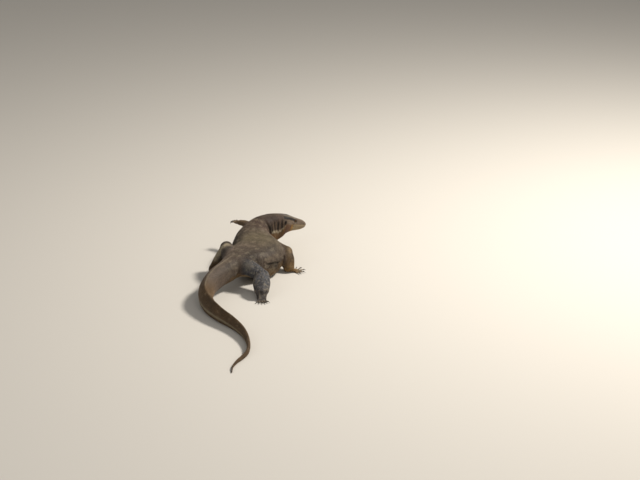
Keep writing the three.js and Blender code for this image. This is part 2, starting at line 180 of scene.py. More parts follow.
HEAD_MATRIX = np.array(
    Matrix.Translation(EAR_PLACE)
    @ Matrix.Rotation(HEAD_TURN, 4, "Z")
    @ Matrix.Rotation(HEAD_DIP, 4, "Y")
)


def from_head(points):
    return np.asarray(points, float) @ HEAD_MATRIX[:3, :3].T + HEAD_MATRIX[:3, 3]


def to_head(points):
    return (np.asarray(points, float) - HEAD_MATRIX[:3, 3]) @ HEAD_MATRIX[:3, :3]


# Where the pose's frame has its origin, in the row frame, found from the two eyes.
EYE_BOXES = np.array([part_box("eye_left"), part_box("eye_right")])
SHIFT = EYE_BOXES.mean(axis=(0, 1)) / MM - from_head((EYE_CENTRE[0], 0, EYE_CENTRE[2]))


def to_row(points):
    """From the pose's frame in millimetres to the row frame in metres."""
    return (np.asarray(points) + SHIFT) * MM


def unit(v):
    return v / np.linalg.norm(v, axis=-1, keepdims=True)


def ease(value, low, high):
    """0 up to low and 1 from high, with a smooth rise between them."""
    t = np.clip((value - low) / (high - low), 0, 1)
    return t * t * (3 - 2 * t)


def window(value, rise, top, edge, end):
    """1 from top to edge, easing to 0 at rise and end."""
    return ease(value, rise, top) * (1 - ease(value, edge, end))


def hill(distance, width):
    return np.exp(-((distance / width) ** 2))


def local_hill(points, centre, radii):
    """A hill in space, with its own radius along each axis."""
    off = (points - np.array(centre)) / radii
    return np.exp(-np.einsum("ij,ij->i", off, off))


def away(points, centre):
    return np.linalg.norm(points - centre, axis=1)


def inside_box(points, low, high):
    return np.all((points > low) & (points < high), axis=1)


def make_tree(points):
    tree = kdtree.KDTree(len(points))
    for i, place in enumerate(points):
        tree.insert(place, i)
    tree.balance()
    return tree


def distances(centres):
    steps = np.linalg.norm(np.diff(centres, axis=0), axis=1)
    return np.concatenate(([0], np.cumsum(steps)))


def smooth_rows(rows, places):
    """A smooth curve through rows of numbers, each standing at its own place."""
    rows, places = np.asarray(rows, float), np.asarray(places, float)
    last = len(rows) - 1
    before = np.maximum(np.arange(last + 1) - 1, 0)
    after = np.minimum(np.arange(last + 1) + 1, last)
    slopes = (rows[after] - rows[before]) / (places[after] - places[before])[:, None]

    def at(place):
        place = np.atleast_1d(np.asarray(place, float))
        row = np.clip(np.searchsorted(places, place, side="left") - 1, 0, last - 1)
        span = (places[row + 1] - places[row])[:, None]
        t = (place[:, None] - places[row][:, None]) / span
        change = rows[row + 1] - rows[row]
        start, end = slopes[row] * span, slopes[row + 1] * span
        curve = 3 * change - 2 * start - end + t * (start + end - 2 * change)
        return rows[row] + t * (start + t * curve)

    return at


HEAD_ROWS = [(*from_head((ahead, 0, lift)), *sizes) for ahead, lift, *sizes in HEAD]
SPINE_ROWS = np.array(HEAD_ROWS + [*SPINE.values()], float)
SPINE_PLACES = distances(SPINE_ROWS[:, :3])
PLACE = dict(zip(SPINE, SPINE_PLACES[len(HEAD):]))
SPINE_STEP = 1.5
NEAR = 25  # how far from a tube its points may lie


class Tube:
    """Cross-sections along a line: centre, heading, right and top, and half sizes."""

    def __init__(self, name, along, centre, heading, right, top, sizes):
        self.name, self.along, self.centre = name, along, centre
        self.heading, self.right, self.top = heading, right, top
        self.wide, self.up, self.down, self.roof, self.floor, self.keel = sizes.T
        self.tree = make_tree(centre)
        reach = sizes[:, :3].max() + NEAR
        self.low, self.high = centre.min(0) - reach, centre.max(0) + reach

    def ring(self, index, angles):
        """Points of the cross-sections "index", at angles from the right over the top."""
        index, angles = np.broadcast_arrays(index, angles)
        high, side = np.sin(angles), np.cos(angles)
        power = np.where(high > 0, self.roof[index], self.floor[index])
        ridge = 1 - self.keel[index] * np.maximum(0, high) ** 2
        across = self.wide[index] * np.sign(side) * np.abs(side) ** power * ridge
        reach = np.where(high > 0, self.up[index], self.down[index])
        height = reach * np.sign(high) * np.abs(high) ** power
        off = self.right[index] * across[..., None] + self.top[index] * height[..., None]
        return self.centre[index] + off

    def locate(self, points):
        """The nearest section of each point, its angle there, and its distance outside."""
        index = np.fromiter((self.tree.find(p)[1] for p in points), int, len(points))
        off = points - self.centre[index]
        x = np.einsum("ij,ij->i", off, self.right[index])
        z = np.einsum("ij,ij->i", off, self.top[index])
        reach = np.where(z > 0, self.up[index], self.down[index])
        angle = np.arctan2(z / reach, x / self.wide[index])
        inner = np.linalg.norm(self.ring(index, angle) - self.centre[index], axis=1)
        return index, angle, np.linalg.norm(off, axis=1) - inner


def spine_tube():
    end = PLACE["tailTip"]
    at = smooth_rows(SPINE_ROWS, SPINE_PLACES)
    along = np.arange(0, end + SPINE_STEP / 2, SPINE_STEP)
    along[-1] = end
    rows = at(along)
    forward = unit(at(np.maximum(along - 1, 0))[:, :3] - at(np.minimum(along + 1, end))[:, :3])
    right = unit(np.cross(forward, (0, 0, 1)))
    top = unit(np.cross(right, forward))
    sizes = rows[:, 3:].copy()
    sizes[:, :3] = np.maximum(sizes[:, :3] - COAT, 0.5)
    return Tube("spine", along, rows[:, :3], -forward, right, top, sizes)


def limb_tube(name, points, thickness, flat, step=1.5):
    """A limb's length between its joints. Its ends are rounded off by tube_mesh."""
    places = distances(points)
    end = places[-1]
    line = smooth_rows(points, places)
    thick = smooth_rows(thickness, np.linspace(0, end, len(thickness)))
    along = np.linspace(0, end, max(int(round(end / step)), 4) + 1)
    heading = unit(line(np.minimum(along + 0.5, end)) - line(np.maximum(along - 0.5, 0)))
    right = unit(np.cross(np.broadcast_to(flat, heading.shape), heading))
    top = unit(np.cross(heading, right))
    wide, high = (thick(along) - COAT).T
    ones = np.ones(len(along))
    sizes = np.stack([wide, high, high, ones, ones, 0 * ones], axis=1)
    return Tube(name, along, line(along), heading, right, top, sizes)


def turns(sides):
    return np.arange(sides) * TAU / sides


def ring_mesh(rings):
    """Closed body from rings of points, each end closed by a fan to its middle."""
    count, sides = rings.shape[:2]
    points = np.concatenate([rings.reshape(-1, 3), rings[[0, -1]].mean(axis=1)])
    ring, side = np.meshgrid(np.arange(count - 1), np.arange(sides), indexing="ij")
    here = ring * sides + side
    after = ring * sides + (side + 1) % sides
    quads = np.stack([here, after, after + sides, here + sides], axis=-1).reshape(-1, 4)
    first = np.arange(sides)
    second = (first + 1) % sides
    last = (count - 1) * sides
    start = np.stack([np.full(sides, count * sides), second, first], axis=1)
    end = np.stack([np.full(sides, count * sides + 1), first + last, second + last], axis=1)
    return points, np.concatenate([start, end]), quads


def tube_mesh(tube, sides, round_ends=True, least=0.0):
    """The tube as a closed body, nowhere closer to its line than "least"."""
    rings = tube.ring(np.arange(len(tube.along))[:, None], turns(sides)[None, :])
    off = rings - tube.centre[:, None, :]
    reach = np.linalg.norm(off, axis=2, keepdims=True)
    rings = tube.centre[:, None, :] + off * np.maximum(1, least / reach)
    if not round_ends:
        return ring_mesh(rings)
    caps = []
    turn = np.linspace(0, math.pi / 2, 10)[1:, None, None]
    share, rise = np.maximum(np.cos(turn), 0.02), np.sin(turn)
    for end, sign in ((0, -1), (-1, 1)):
        centre, heading = tube.centre[end], tube.heading[end]
        caps.append(centre + (rings[end] - centre) * share + sign * heading * tube.up[end] * rise)
    return ring_mesh(np.concatenate([caps[0][::-1], rings, caps[1]]))


# ------------------------------------------------------------------ field of the skin

class Field:
    """Distances to the skin on a grid, joined softly from closed bodies."""

    def __init__(self):
        self.start = np.floor(np.array(GRID_LOW) / VOXEL).astype(int)
        size = np.ceil(np.array(GRID_HIGH) / VOXEL).astype(int) - self.start
        self.values = np.full(size, BAND * VOXEL, np.float32)

    def add(self, mesh, blend):
        """Joins a closed body to the field, on the part of the grid that it covers."""
        points, triangles, quads = mesh
        grid = openvdb.FloatGrid.createLevelSetFromPolygons(
            (points / VOXEL).astype(np.float32),
            triangles=triangles.astype(np.uint32),
            quads=quads.astype(np.uint32),
            transform=openvdb.createLinearTransform(voxelSize=1.0),
            halfWidth=BAND,
        )
        low = np.floor(points.min(0) / VOXEL).astype(int) - BAND - 1
        high = np.ceil(points.max(0) / VOXEL).astype(int) + BAND + 1
        low = np.maximum(low, self.start)
        high = np.minimum(high, self.start + self.values.shape)
        dense = np.zeros(high - low, np.float32)
        grid.copyToArray(dense, ijk=tuple(int(v) for v in low))
        part = tuple(slice(a, b) for a, b in zip(low - self.start, high - self.start))
        self.values[part] = soft_lower(self.values[part], dense * VOXEL, blend)

    def mesh(self):
        values = np.clip(self.values / VOXEL, -3, 3).astype(np.float32)
        grid = openvdb.FloatGrid(3.0)
        grid.copyFromArray(values, ijk=tuple(int(v) for v in self.start))
        points, quads = grid.convertToQuads(isovalue=0.0)
        return np.asarray(points, float) * VOXEL, np.asarray(quads, int)


def soft_lower(a, b, blend):
    """The lower of two fields, with a fillet where they meet."""
    mix = np.maximum(blend - np.abs(a - b), 0) / blend
    return np.minimum(a, b) - mix * mix * blend / 4


def toe_lines(leg):
    """Each toe's line from the palm to its tip, and the way it points."""
    turn = math.radians(leg["heading"])
    edge = np.array((-math.sin(turn), math.cos(turn), 0))
    palm = np.array(leg["palm"], float)
    shares = np.array((0, 1 / 3, 2 / 3, 1))
    lines = []
    for length, spread, root in leg["toes"]:
        angle = turn + math.radians(spread)
        out = np.array((math.cos(angle), math.sin(angle), 0))
        line = palm + edge * root + out * (length * shares)[:, None]
        sink = leg["dip"] * np.sin(np.pi * shares)
        line[:, 2] = palm[2] + (leg["tip_height"] - palm[2]) * shares - sink
        lines.append((line, out))
    return lines


def leg_tubes(name, leg):
    """The tubes of one leg: upper and lower length, palm and toes."""
    thick = np.array((1, 0.92, 0.72))[:, None] * (leg["toe_thick"], leg["toe_thick"])
    return [
        limb_tube(f"{name}_upper", leg["upper"], leg["upper_thick"], leg["flat"]),
        limb_tube(f"{name}_lower", leg["lower"], leg["lower_thick"], leg["flat"]),
        limb_tube(f"{name}_palm", (leg["wrist"], leg["palm"]), leg["palm_size"], (0, 0, 1)),
        *(limb_tube(f"{name}_toe_{i + 1}", line, thick, (0, 0, 1), step=1.0)
          for i, (line, out) in enumerate(toe_lines(leg))),
    ]


SPINE_TUBE = spine_tube()
LEG_TUBES = {name: leg_tubes(name, leg) for name, leg in LEGS.items()}
ALL_TUBES = [SPINE_TUBE] + [tube for tubes in LEG_TUBES.values() for tube in tubes]
GRID_LOW, GRID_HIGH = (-150, -900, -10), (310, 540, 190)
SOLE = COAT  # the flat soles leave room for the scales under them


def make_field():
    body = Field()
    body.add(tube_mesh(SPINE_TUBE, 96, round_ends=False, least=1.3 * VOXEL), 1)
    for name, (upper, lower, palm, *toes) in LEG_TUBES.items():
        limb = Field()
        for tube, sides, blend in ((upper, 32, 1), (lower, 32, 8), (palm, 32, 6)):
            limb.add(tube_mesh(tube, sides), blend)
        for toe in toes:
            limb.add(tube_mesh(toe, 16), 3)
        body.values = soft_lower(body.values, limb.values, LEGS[name]["blend"])
    floor = (np.arange(body.values.shape[2]) + body.start[2]) * VOXEL - SOLE
    body.values = np.maximum(body.values, -floor[None, None, :]).astype(np.float32)
    return body


def smooth(points, edges, rounds, weight=1.0, pull=0.5, push=-0.52):
    """Taubin smoothing, which keeps the volume."""
    count = np.bincount(edges.ravel(), minlength=len(points))[:, None]
    one, other = edges.T
    for share in (pull, push) * rounds:
        total = [
            np.bincount(one, points[other, axis], len(points))
            + np.bincount(other, points[one, axis], len(points))
            for axis in range(3)
        ]
        points = points + share * weight * (np.transpose(total) / count - points)
    return points


def read_points(bm):
    return np.array([v.co for v in bm.verts], float)


def read_normals(bm):
    bm.normal_update()
    return np.array([v.normal for v in bm.verts], float)


def read_edges(bm):
    return np.array([(e.verts[0].index, e.verts[1].index) for e in bm.edges])


def write_points(bm, points):
    for v, place in zip(bm.verts, points.tolist()):
        v.co = place


def smooth_mesh(bm, rounds, weight=1.0):
    write_points(bm, smooth(read_points(bm), read_edges(bm), rounds, weight))


def refine(bm, chosen):
    """Splits the faces whose middle is chosen, and smooths what they become."""
    flags = chosen(np.array([f.calc_center_median() for f in bm.faces]))
    edges = {e for f, flag in zip(bm.faces, flags) if flag for e in f.edges}
    bmesh.ops.subdivide_edges(bm, edges=list(edges), cuts=1, use_grid_fill=True)
    bm.verts.index_update()
    near = chosen(read_points(bm))
    smooth_mesh(bm, 2, near[:, None].astype(float))


def on_paw(points):
    """Points on a palm or toe."""
    tubes = [tube for tube in ALL_TUBES if "palm" in tube.name or "toe" in tube.name]
    margin = NEAR - 4
    return np.any([inside_box(points, t.low + margin, t.high - margin) for t in tubes], axis=0)


def on_head(points):
    return inside_box(to_head(points), (-12, -45, -75), (np.inf, 45, 75))


def lip_height(ahead):
    return np.interp(ahead, (6, 12, 28, 48, 74, 116), (-9.6, -9, -9, -8, -7.5, -7))


def mirrored(points):
    """Head coordinates with both sides laid on the left one."""
    local = to_head(points)
    local[:, 1] = np.abs(local[:, 1])
    return local


NOSTRIL = (90, 14.6, 4.6)
EAR = (-3, 33.6, 2)


def on_features(points):
    local = mirrored(points)
    lip = np.abs(local[:, 2] - lip_height(local[:, 0])) < 3.5
    found = lip & (local[:, 0] > 8) & on_head(points)
    for centre, radius in ((EYE_CENTRE, 16), (NOSTRIL, 7), (EAR, 12)):
        found |= away(local, centre) < radius
    return found


def on_lids(points):
    return away(mirrored(points), EYE_CENTRE) < 10


def make_skin_mesh():
    points, quads = make_field().mesh()
    mesh = bpy.data.meshes.new("skin")
    mesh.from_pydata(points, [], quads.tolist())
    bm = bmesh.new()
    bm.from_mesh(mesh)
    bm.verts.index_update()
    smooth_mesh(bm, 3)
    for chosen in (lambda p: on_head(p) | on_paw(p), on_features, on_lids):
        refine(bm, chosen)
    soften_throat(bm)
    thin_tail(bm)
    bmesh.ops.recalc_face_normals(bm, faces=bm.faces)
    sculpt_body(bm)
    sculpt_head(bm)
    return mesh, bm


def soften_throat(bm):
    """Evens out the skin where the dipped head's throat meets the level neck's."""
    points = read_points(bm)
    weight = local_hill(to_head(points), (12, 0, -54), (26, 46, 26))
    near = np.flatnonzero(weight > 0.02)
    number = np.full(len(points), -1)
    number[near] = np.arange(len(near))
    edges = number[read_edges(bm)]
    edges = edges[(edges >= 0).all(axis=1)]
    points[near] = smooth(points[near], edges, 150, weight[near, None], push=-0.05)
    write_points(bm, points)


def thin_tail(bm):
    """Brings the tail back to its true thickness, towards its tip."""
    points = read_points(bm)
    chosen = np.flatnonzero(points[:, 1] < SPINE["tail5"][1])
    index, angle, outside = SPINE_TUBE.locate(points[chosen])
    centre = SPINE_TUBE.centre[index]
    off = points[chosen] - centre
    amount = ease(SPINE_TUBE.along[index], PLACE["tail5"] + 20, PLACE["tail7"])
    share = 1 - amount * outside / np.maximum(np.linalg.norm(off, axis=1), 0.1)
    points[chosen] = centre + off * share[:, None]
    write_points(bm, points)


# ------------------------------------------------------------------ folds and features

def lattice_hash(cells, seed):
    """A repeatable number from 0 to 1 for each whole-number cell."""
    x, y, z = (cells[..., i].astype(np.int64) for i in range(3))
    h = (x * 374761393 + y * 668265263 + z * 2147483647 + seed * 144665) & 0xFFFFFFFF
    h = ((h ^ (h >> 13)) * 1274126177) & 0xFFFFFFFF
    h = ((h ^ (h >> 16)) * 2246822519) & 0xFFFFFFFF
    return (h ^ (h >> 15)) / 4294967295.0


def soft_noise(points, size, seed=0):
    """Smooth noise from -1 to 1 whose grain is about "size" across."""
    scaled = np.asarray(points, float) / size
    cell = np.floor(scaled).astype(int)
    t = ease(scaled - cell, 0, 1)
    total = np.zeros(len(scaled))
    for corner in np.ndindex(2, 2, 2):
        weight = np.prod(np.where(corner, t, 1 - t), axis=1)
        total += weight * lattice_hash(cell + corner, seed)
    return total * 2 - 1


def cells(points, size, seed=0):
    """Distances to the nearest and second nearest of points strewn "size" apart."""
    scaled = np.asarray(points, float) / size
    cell = np.floor(scaled).astype(int)
    first = np.full(len(scaled), 9.0)
    second = np.full(len(scaled), 9.0)
    for corner in np.ndindex(3, 3, 3):
        here = cell + corner - 1
        spot = np.stack([lattice_hash(here, seed + k) for k in range(3)], axis=1)
        d = away(here + spot, scaled)
        second = np.minimum(second, np.maximum(first, d))
        first = np.minimum(first, d)
    return first * size, second * size


def line_on_spine(marks):
    """A line over the body through (place, angle) marks, as points with their shares."""
    order = np.arange(len(marks))
    share = np.linspace(0, 1, 40 * len(marks))
    place, angle = smooth_rows(marks, order)(share * order[-1]).T
    last = len(SPINE_TUBE.along) - 1
    index = np.clip(np.round(place / SPINE_STEP).astype(int), 0, last)
    return SPINE_TUBE.ring(index, np.radians(angle)), share


def crease(points, line, share, depth, width, lip=0.35):
    """How far a groove along a line, fading at both ends, moves each point outwards."""
    box = inside_box(points, line.min(0) - 5 * width, line.max(0) + 5 * width)
    chosen = np.flatnonzero(box)
    tree = make_tree(line)
    found = [tree.find(p) for p in points[chosen]]
    d = np.array([f[2] for f in found])
    at = share[[f[1] for f in found]]
    fade = np.sin(np.pi * np.clip(at, 0.02, 0.98)) ** 0.6
    move = np.zeros(len(points))
    move[chosen] = fade * depth * (lip * hill(d - 2.1 * width, width) - hill(d, width))
    return move


# The fold under each flank: its angle from the right at places along the spine.
FLANK_FOLD = np.array([
    (380, -8), (410, -11), (428, -14), (447, -16), (462, -16),
    (478, -12), (494, -9), (506, -8), (514, -7), (522, -4), (540, 4),
], float)
FLANK_RADIUS = 92  # mean distance from the spine to the fold


def off_fold(place, angle):
    """Degrees above the flank's fold."""
    return np.degrees(angle) - np.interp(place, *FLANK_FOLD.T)


def flank(place, angle):
    """The groove of the fold, with the flank swollen above it and drawn in below it."""
    above = np.radians(off_fold(place, angle)) * FLANK_RADIUS
    groove = -8.5 * hill(above, 4.2) * ease(place, 400, 450)
    under = -4.5 * hill(above + 15, 13)
    swell = 2.0 * hill(above - 12, 9)
    return window(place, 375, 440, 500, 528) * (groove + under + swell)


BARS = (104, 122, 142, 163, 187, 207, 226)  # places of the neck's dark bars and folds

# Creases over the body: depth, width and marks of (place, angle).
CREASES = (
    # the neck's right side, folded by the turn of the head, and its left side, stretched
    *((1.8, 2.6, ((place, 34), (place + 1, 12), (place + 3, -6), (place + 2, -20)))
      for place in BARS[1:-1]),
    (1.0, 3.0, ((159, 150), (167, 185), (161, 215))),
    (1.4, 3.2, ((221, 130), (231, 175), (235, 220))),
    # the hollow between neck and shoulder
    (4.6, 6.0, ((206, 58), (212, 38), (215, 16), (210, -4), (199, -22))),
    (1.8, 3.0, ((238, 44), (246, 18), (250, -24))),
    # the gular fold in front of the chest
    (2.6, 3.6, ((223, -38), (215, -62), (211, -90), (215, -118), (225, -148))),
    (1.4, 2.8, ((199, -50), (193, -72), (191, -90), (193, -108), (201, -132))),
    # throat
    (0.6, 2.6, ((132, -55), (128, -75), (127, -95), (130, -118))),
    (0.5, 2.4, ((158, -60), (156, -80), (156, -100), (160, -120))),
    # behind the arms
    (2.4, 4.2, ((327, 22), (335, 0), (341, -22))),
    (1.6, 3.8, ((351, 16), (359, -4), (361, -24))),
    (1.6, 3.8, ((309, 140), (321, 165), (327, 190))),
    # the left flank, folded by the body's bend
    (2.2, 3.6, ((316, 122), (330, 138), (350, 146), (374, 153))),
    *((1.5, 4.0, ((place, 148), (place + 5, 170), (place + 4, 192)))
      for place in (385, 410, 437, 461)),
    # over the hips and the root of the tail
    (1.3, 6.0, ((488, 40), (507, 50), (524, 54), (540, 56), (556, 58), (570, 60), (590, 68))),
    (1.6, 4.0, ((539, 40), (557, 26), (569, 10))),
    (1.2, 4.0, ((637, 20), (649, -4), (655, -30))),
    (1.0, 4.0, ((664, 24), (673, 0), (677, -26))),
)


def owners(points):
    """For each point the tube it lies on, with its section, angle and distance outside."""
    tube, index = np.zeros((2, len(points)), int)
    angle = np.zeros(len(points))
    outside = np.full(len(points), 1e6)
    for number, candidate in enumerate(ALL_TUBES):
        near = np.flatnonzero(inside_box(points, candidate.low, candidate.high))
        if not len(near):
            continue
        i, a, o = candidate.locate(points[near])
        better = o < outside[near]
        chosen = near[better]
        tube[chosen], index[chosen] = number, i[better]
        angle[chosen], outside[chosen] = a[better], o[better]
    return tube, index, angle, outside


def of_tubes(tube, index, name):
    """A property of the tubes, such as "heading", at the section of each point."""
    return np.array([getattr(ALL_TUBES[t], name)[i] for t, i in zip(tube, index)])


def spine_place(tube, index):
    """Places along the spine, and 0 for points that lie on a limb."""
    return SPINE_TUBE.along[np.where(tube == 0, index, 0)]


def sculpt_body(bm):
    points, normals = read_points(bm), read_normals(bm)
    tube, index, angle, outside = owners(points)
    spine = tube == 0
    place = spine_place(tube, index)
    off_top = np.degrees(angle) - 90
    left = np.where(angle > 0, np.pi - angle, -np.pi - angle)
    body = spine & (place > 300) & (place < 620)
    move = np.where(body, flank(place, angle) + 0.55 * flank(place, left), 0)
    for depth, width, marks in CREASES:
        move += crease(points, *line_on_spine(marks), depth, width) * spine
    # the furrow of the back, loose skin on the flanks, and unevenness everywhere
    back = window(place, 240, 340, 560, 660) * spine
    move -= 1.2 * back * hill(off_top, 6)
    move += 1.2 * window(place, 620, 690, 1150, 1400) * spine * hill(off_top, 7)
    ripple = np.sin(place * TAU / 13 + 2.5 * soft_noise(points, 40, 5))
    move += 0.45 * hill(np.abs(off_top) - 88, 34) * back * ripple
    rough = np.where(spine, window(place, 105, 160, 900, 1300), 0.6)
    move += rough * (0.9 * soft_noise(points, 34, 1) + 0.35 * soft_noise(points, 11, 2))
    above_floor = points[:, 2] >= 4
    write_points(bm, points + normals * (move * above_floor)[:, None])


# Soft forms of the head: height, middle and radii, in head coordinates.
HEAD_FORMS = (
    (2.0, (17, 31, -10), (14, 12, 15)),  # the jaw's muscle
    (2.8, (44, 20.5, 20), (13, 5, 4.5)),  # the brow
    (1.6, (45, 24, 9), (11, 8, 10)),  # the full rim of the orbit
    (1.2, (26, 18, 25), (17, 7, 8)),  # the temple
    (-1.2, (40, 0, 24), (18, 6, 8)),  # the hollow between the brows
    (-1.5, (66, 17, 10), (9, 6, 6)),  # the hollow ahead of the eye
    (1.0, (90, 12.5, 9.5), (7, 6, 5)),  # the swollen nostril
    (-0.9, (31, 30, 1), (9, 8, 5)),  # the hollow under the eye
)


def sculpt_head(bm):
    points = read_points(bm)
    chosen = np.flatnonzero(to_head(points)[:, 0] > -40)
    for step in (head_forms, mouth, openings):
        normals = read_normals(bm)[chosen]
        points[chosen] += normals * step(mirrored(points[chosen]))[:, None]
        write_points(bm, points)
    lids(bm)


def head_forms(local):
    ahead, side, lift = local.T
    move = sum(height * local_hill(local, centre, radii) for height, centre, radii in HEAD_FORMS)
    # the sharp edge from brow to nostril
    brow = (44, 64, 88)
    edge = np.hypot(side - np.interp(ahead, brow, (20, 16.2, 12.2)),
                    lift - np.interp(ahead, brow, (19, 16, 12.8)))
    return move + 0.9 * window(ahead, 36, 46, 82, 94) * hill(edge, 2.6)


def mouth(local):
    """The line of the mouth, between swollen lips."""
    ahead, side, lift = local.T
    off = lift - lip_height(ahead)
    slit = -1.25 * hill(off, 0.75)
    lips = 0.55 * hill(off - 2.3, 1.3) + 0.4 * hill(off + 2.2, 1.3)
    return (slit + lips) * ease(ahead, 11, 17) * ((side > 3) | (ahead > 92))


def openings(local):
    """Nostrils and ears: a pit with a soft rim."""
    move = np.zeros(len(local))
    for centre, long, high, tilt, depth, rim in (
        (NOSTRIL, 2.7, 1.7, 0.45, 2.4, 0.4),
        (EAR, 3.6, 6.2, 0.25, 4.0, 0.8),
    ):
        ahead, side, lift = (local - centre).T
        u = ahead * math.cos(tilt) + lift * math.sin(tilt)
        v = lift * math.cos(tilt) - ahead * math.sin(tilt)
        q = np.hypot(u / long, v / high)
        pit = -depth * (1 - ease(q, 0.55, 1.05)) + rim * hill(q - 1.25, 0.28)
        move += np.where(np.abs(side) < 9, pit, 0)
    return move


GAZE = unit(np.array((0.1, 1.0, 0.13)))
LID = 0.6  # thickness of the lids over the eyeball


def eye_axes(gaze=GAZE):
    ahead = unit(np.cross(gaze, (0, 0, 1)))
    return ahead, unit(np.cross(ahead, gaze))


def lids(bm):
    """Draws the skin round each eye over the eyeball, with an almond opening."""
    points = read_points(bm)
    side = np.where(to_head(points)[:, 1] < 0, -1, 1)
    off = mirrored(points) - EYE_CENTRE
    reach = np.linalg.norm(off, axis=1)
    chosen = np.flatnonzero((reach < 15) & (off @ GAZE > -1))
    off, reach = off[chosen], reach[chosen]
    ahead, above = eye_axes()
    u, v = off @ ahead, off @ above
    high = np.where(v > 0, 3.5, 3.2) * (1 - 0.06 * u)
    q = (np.abs(u / 5.8) ** 1.8 + np.abs(v / high) ** 1.8) ** (1 / 1.8)
    wanted = (EYE_RADIUS - 1.6) + ease(q, 0.86, 1.04) * (1.6 + LID)
    wanted += 0.12 * hill(q - 1.16, 0.12) - 0.5 * hill(q - 1.62, 0.14) * (v > -1)
    wanted -= 0.35 * hill(q - 1.55, 0.14) * (v < -1)
    hold = 1 - ease(q, 1.3, 2.6)
    radius = hold * wanted + (1 - hold) * reach
    placed = off * (radius / reach)[:, None] + EYE_CENTRE
    placed[:, 1] *= side[chosen]
    points[chosen] = from_head(placed)
    write_points(bm, points)


# ------------------------------------------------------------------ unwrap

UNWRAP_WIDTH = 1620  # millimetres of skin across the whole map
UNWRAP_GAP = 14


def make_charts():
    """Each tube's rectangle on the map: its left and lower edge and its girth, on shelves."""
    charts, left, low, shelf = [], UNWRAP_GAP, UNWRAP_GAP, 0
    for tube in ALL_TUBES:
        length = tube.along[-1] + 2 * tube.up[[0, -1]].max()
        girth = TAU * max(tube.wide.max(), (tube.up + tube.down).max() / 2)
        if left + length + UNWRAP_GAP > UNWRAP_WIDTH:
            left, low, shelf = UNWRAP_GAP, low + shelf + UNWRAP_GAP, 0
        charts.append((left + tube.up[0], low, girth))
        left += length + UNWRAP_GAP
        shelf = max(shelf, girth)
    return np.array(charts)


CHARTS = make_charts()


def unwrap(number, place, turn):
    """Places on the map of points on one tube. The turn runs from the animal's belly."""
    left, low, girth = CHARTS[number]
    return np.column_stack([left + place, low + girth * turn / TAU]) / UNWRAP_WIDTH


def belly_turn(angle):
    return np.mod(angle + math.pi / 2, TAU)


def tube_place(number, index, points):
    """Distance along the tube, also past its ends."""
    tube = ALL_TUBES[number]
    off = points - tube.centre[index]
    return tube.along[index] + np.einsum("ij,ij->i", off, tube.heading[index])


def unwrap_mesh(faces, points):
    """The skin's map: each face lies in the chart of the tube that it is on."""
    corner = np.concatenate(faces)
    totals = np.array([len(f) for f in faces])
    face = np.repeat(np.arange(len(totals)), totals)
    tube, index, angle, outside = owners(points)
    owner = tube[[f[0] for f in faces]][face]
    uv = np.zeros((len(corner), 2))
    for number in np.unique(owner):
        chosen = np.flatnonzero(owner == number)
        here, back = np.unique(corner[chosen], return_inverse=True)
        index, angle, outside = ALL_TUBES[number].locate(points[here])
        turn = belly_turn(angle)[back]
        first = np.diff(face[chosen], prepend=-1) > 0
        base = turn[first][np.cumsum(first) - 1]
        turn = base + np.mod(turn - base + math.pi, TAU) - math.pi
        uv[chosen] = unwrap(number, tube_place(number, index, points[here])[back], turn)
    return uv


# ------------------------------------------------------------------ markings

def from_top(angle):
    """Degrees down either side, from 0 on the back to 180 on the belly."""
    return np.abs(np.mod(np.degrees(angle) - 90 + 180, 360) - 180)


def wave(value, period):
    """1 at each multiple of the period, and -1 half way between."""
    return np.cos(value * TAU / period)


def local_spot(place, down, middle, low, long, high):
    """A soft spot on the body, in millimetres along it and degrees down its side."""
    return hill(np.hypot((place - middle) / long, (down - low) / high), 1)


MARKS = ("dark", "pale", "slate", "warm", "rosy", "olive")


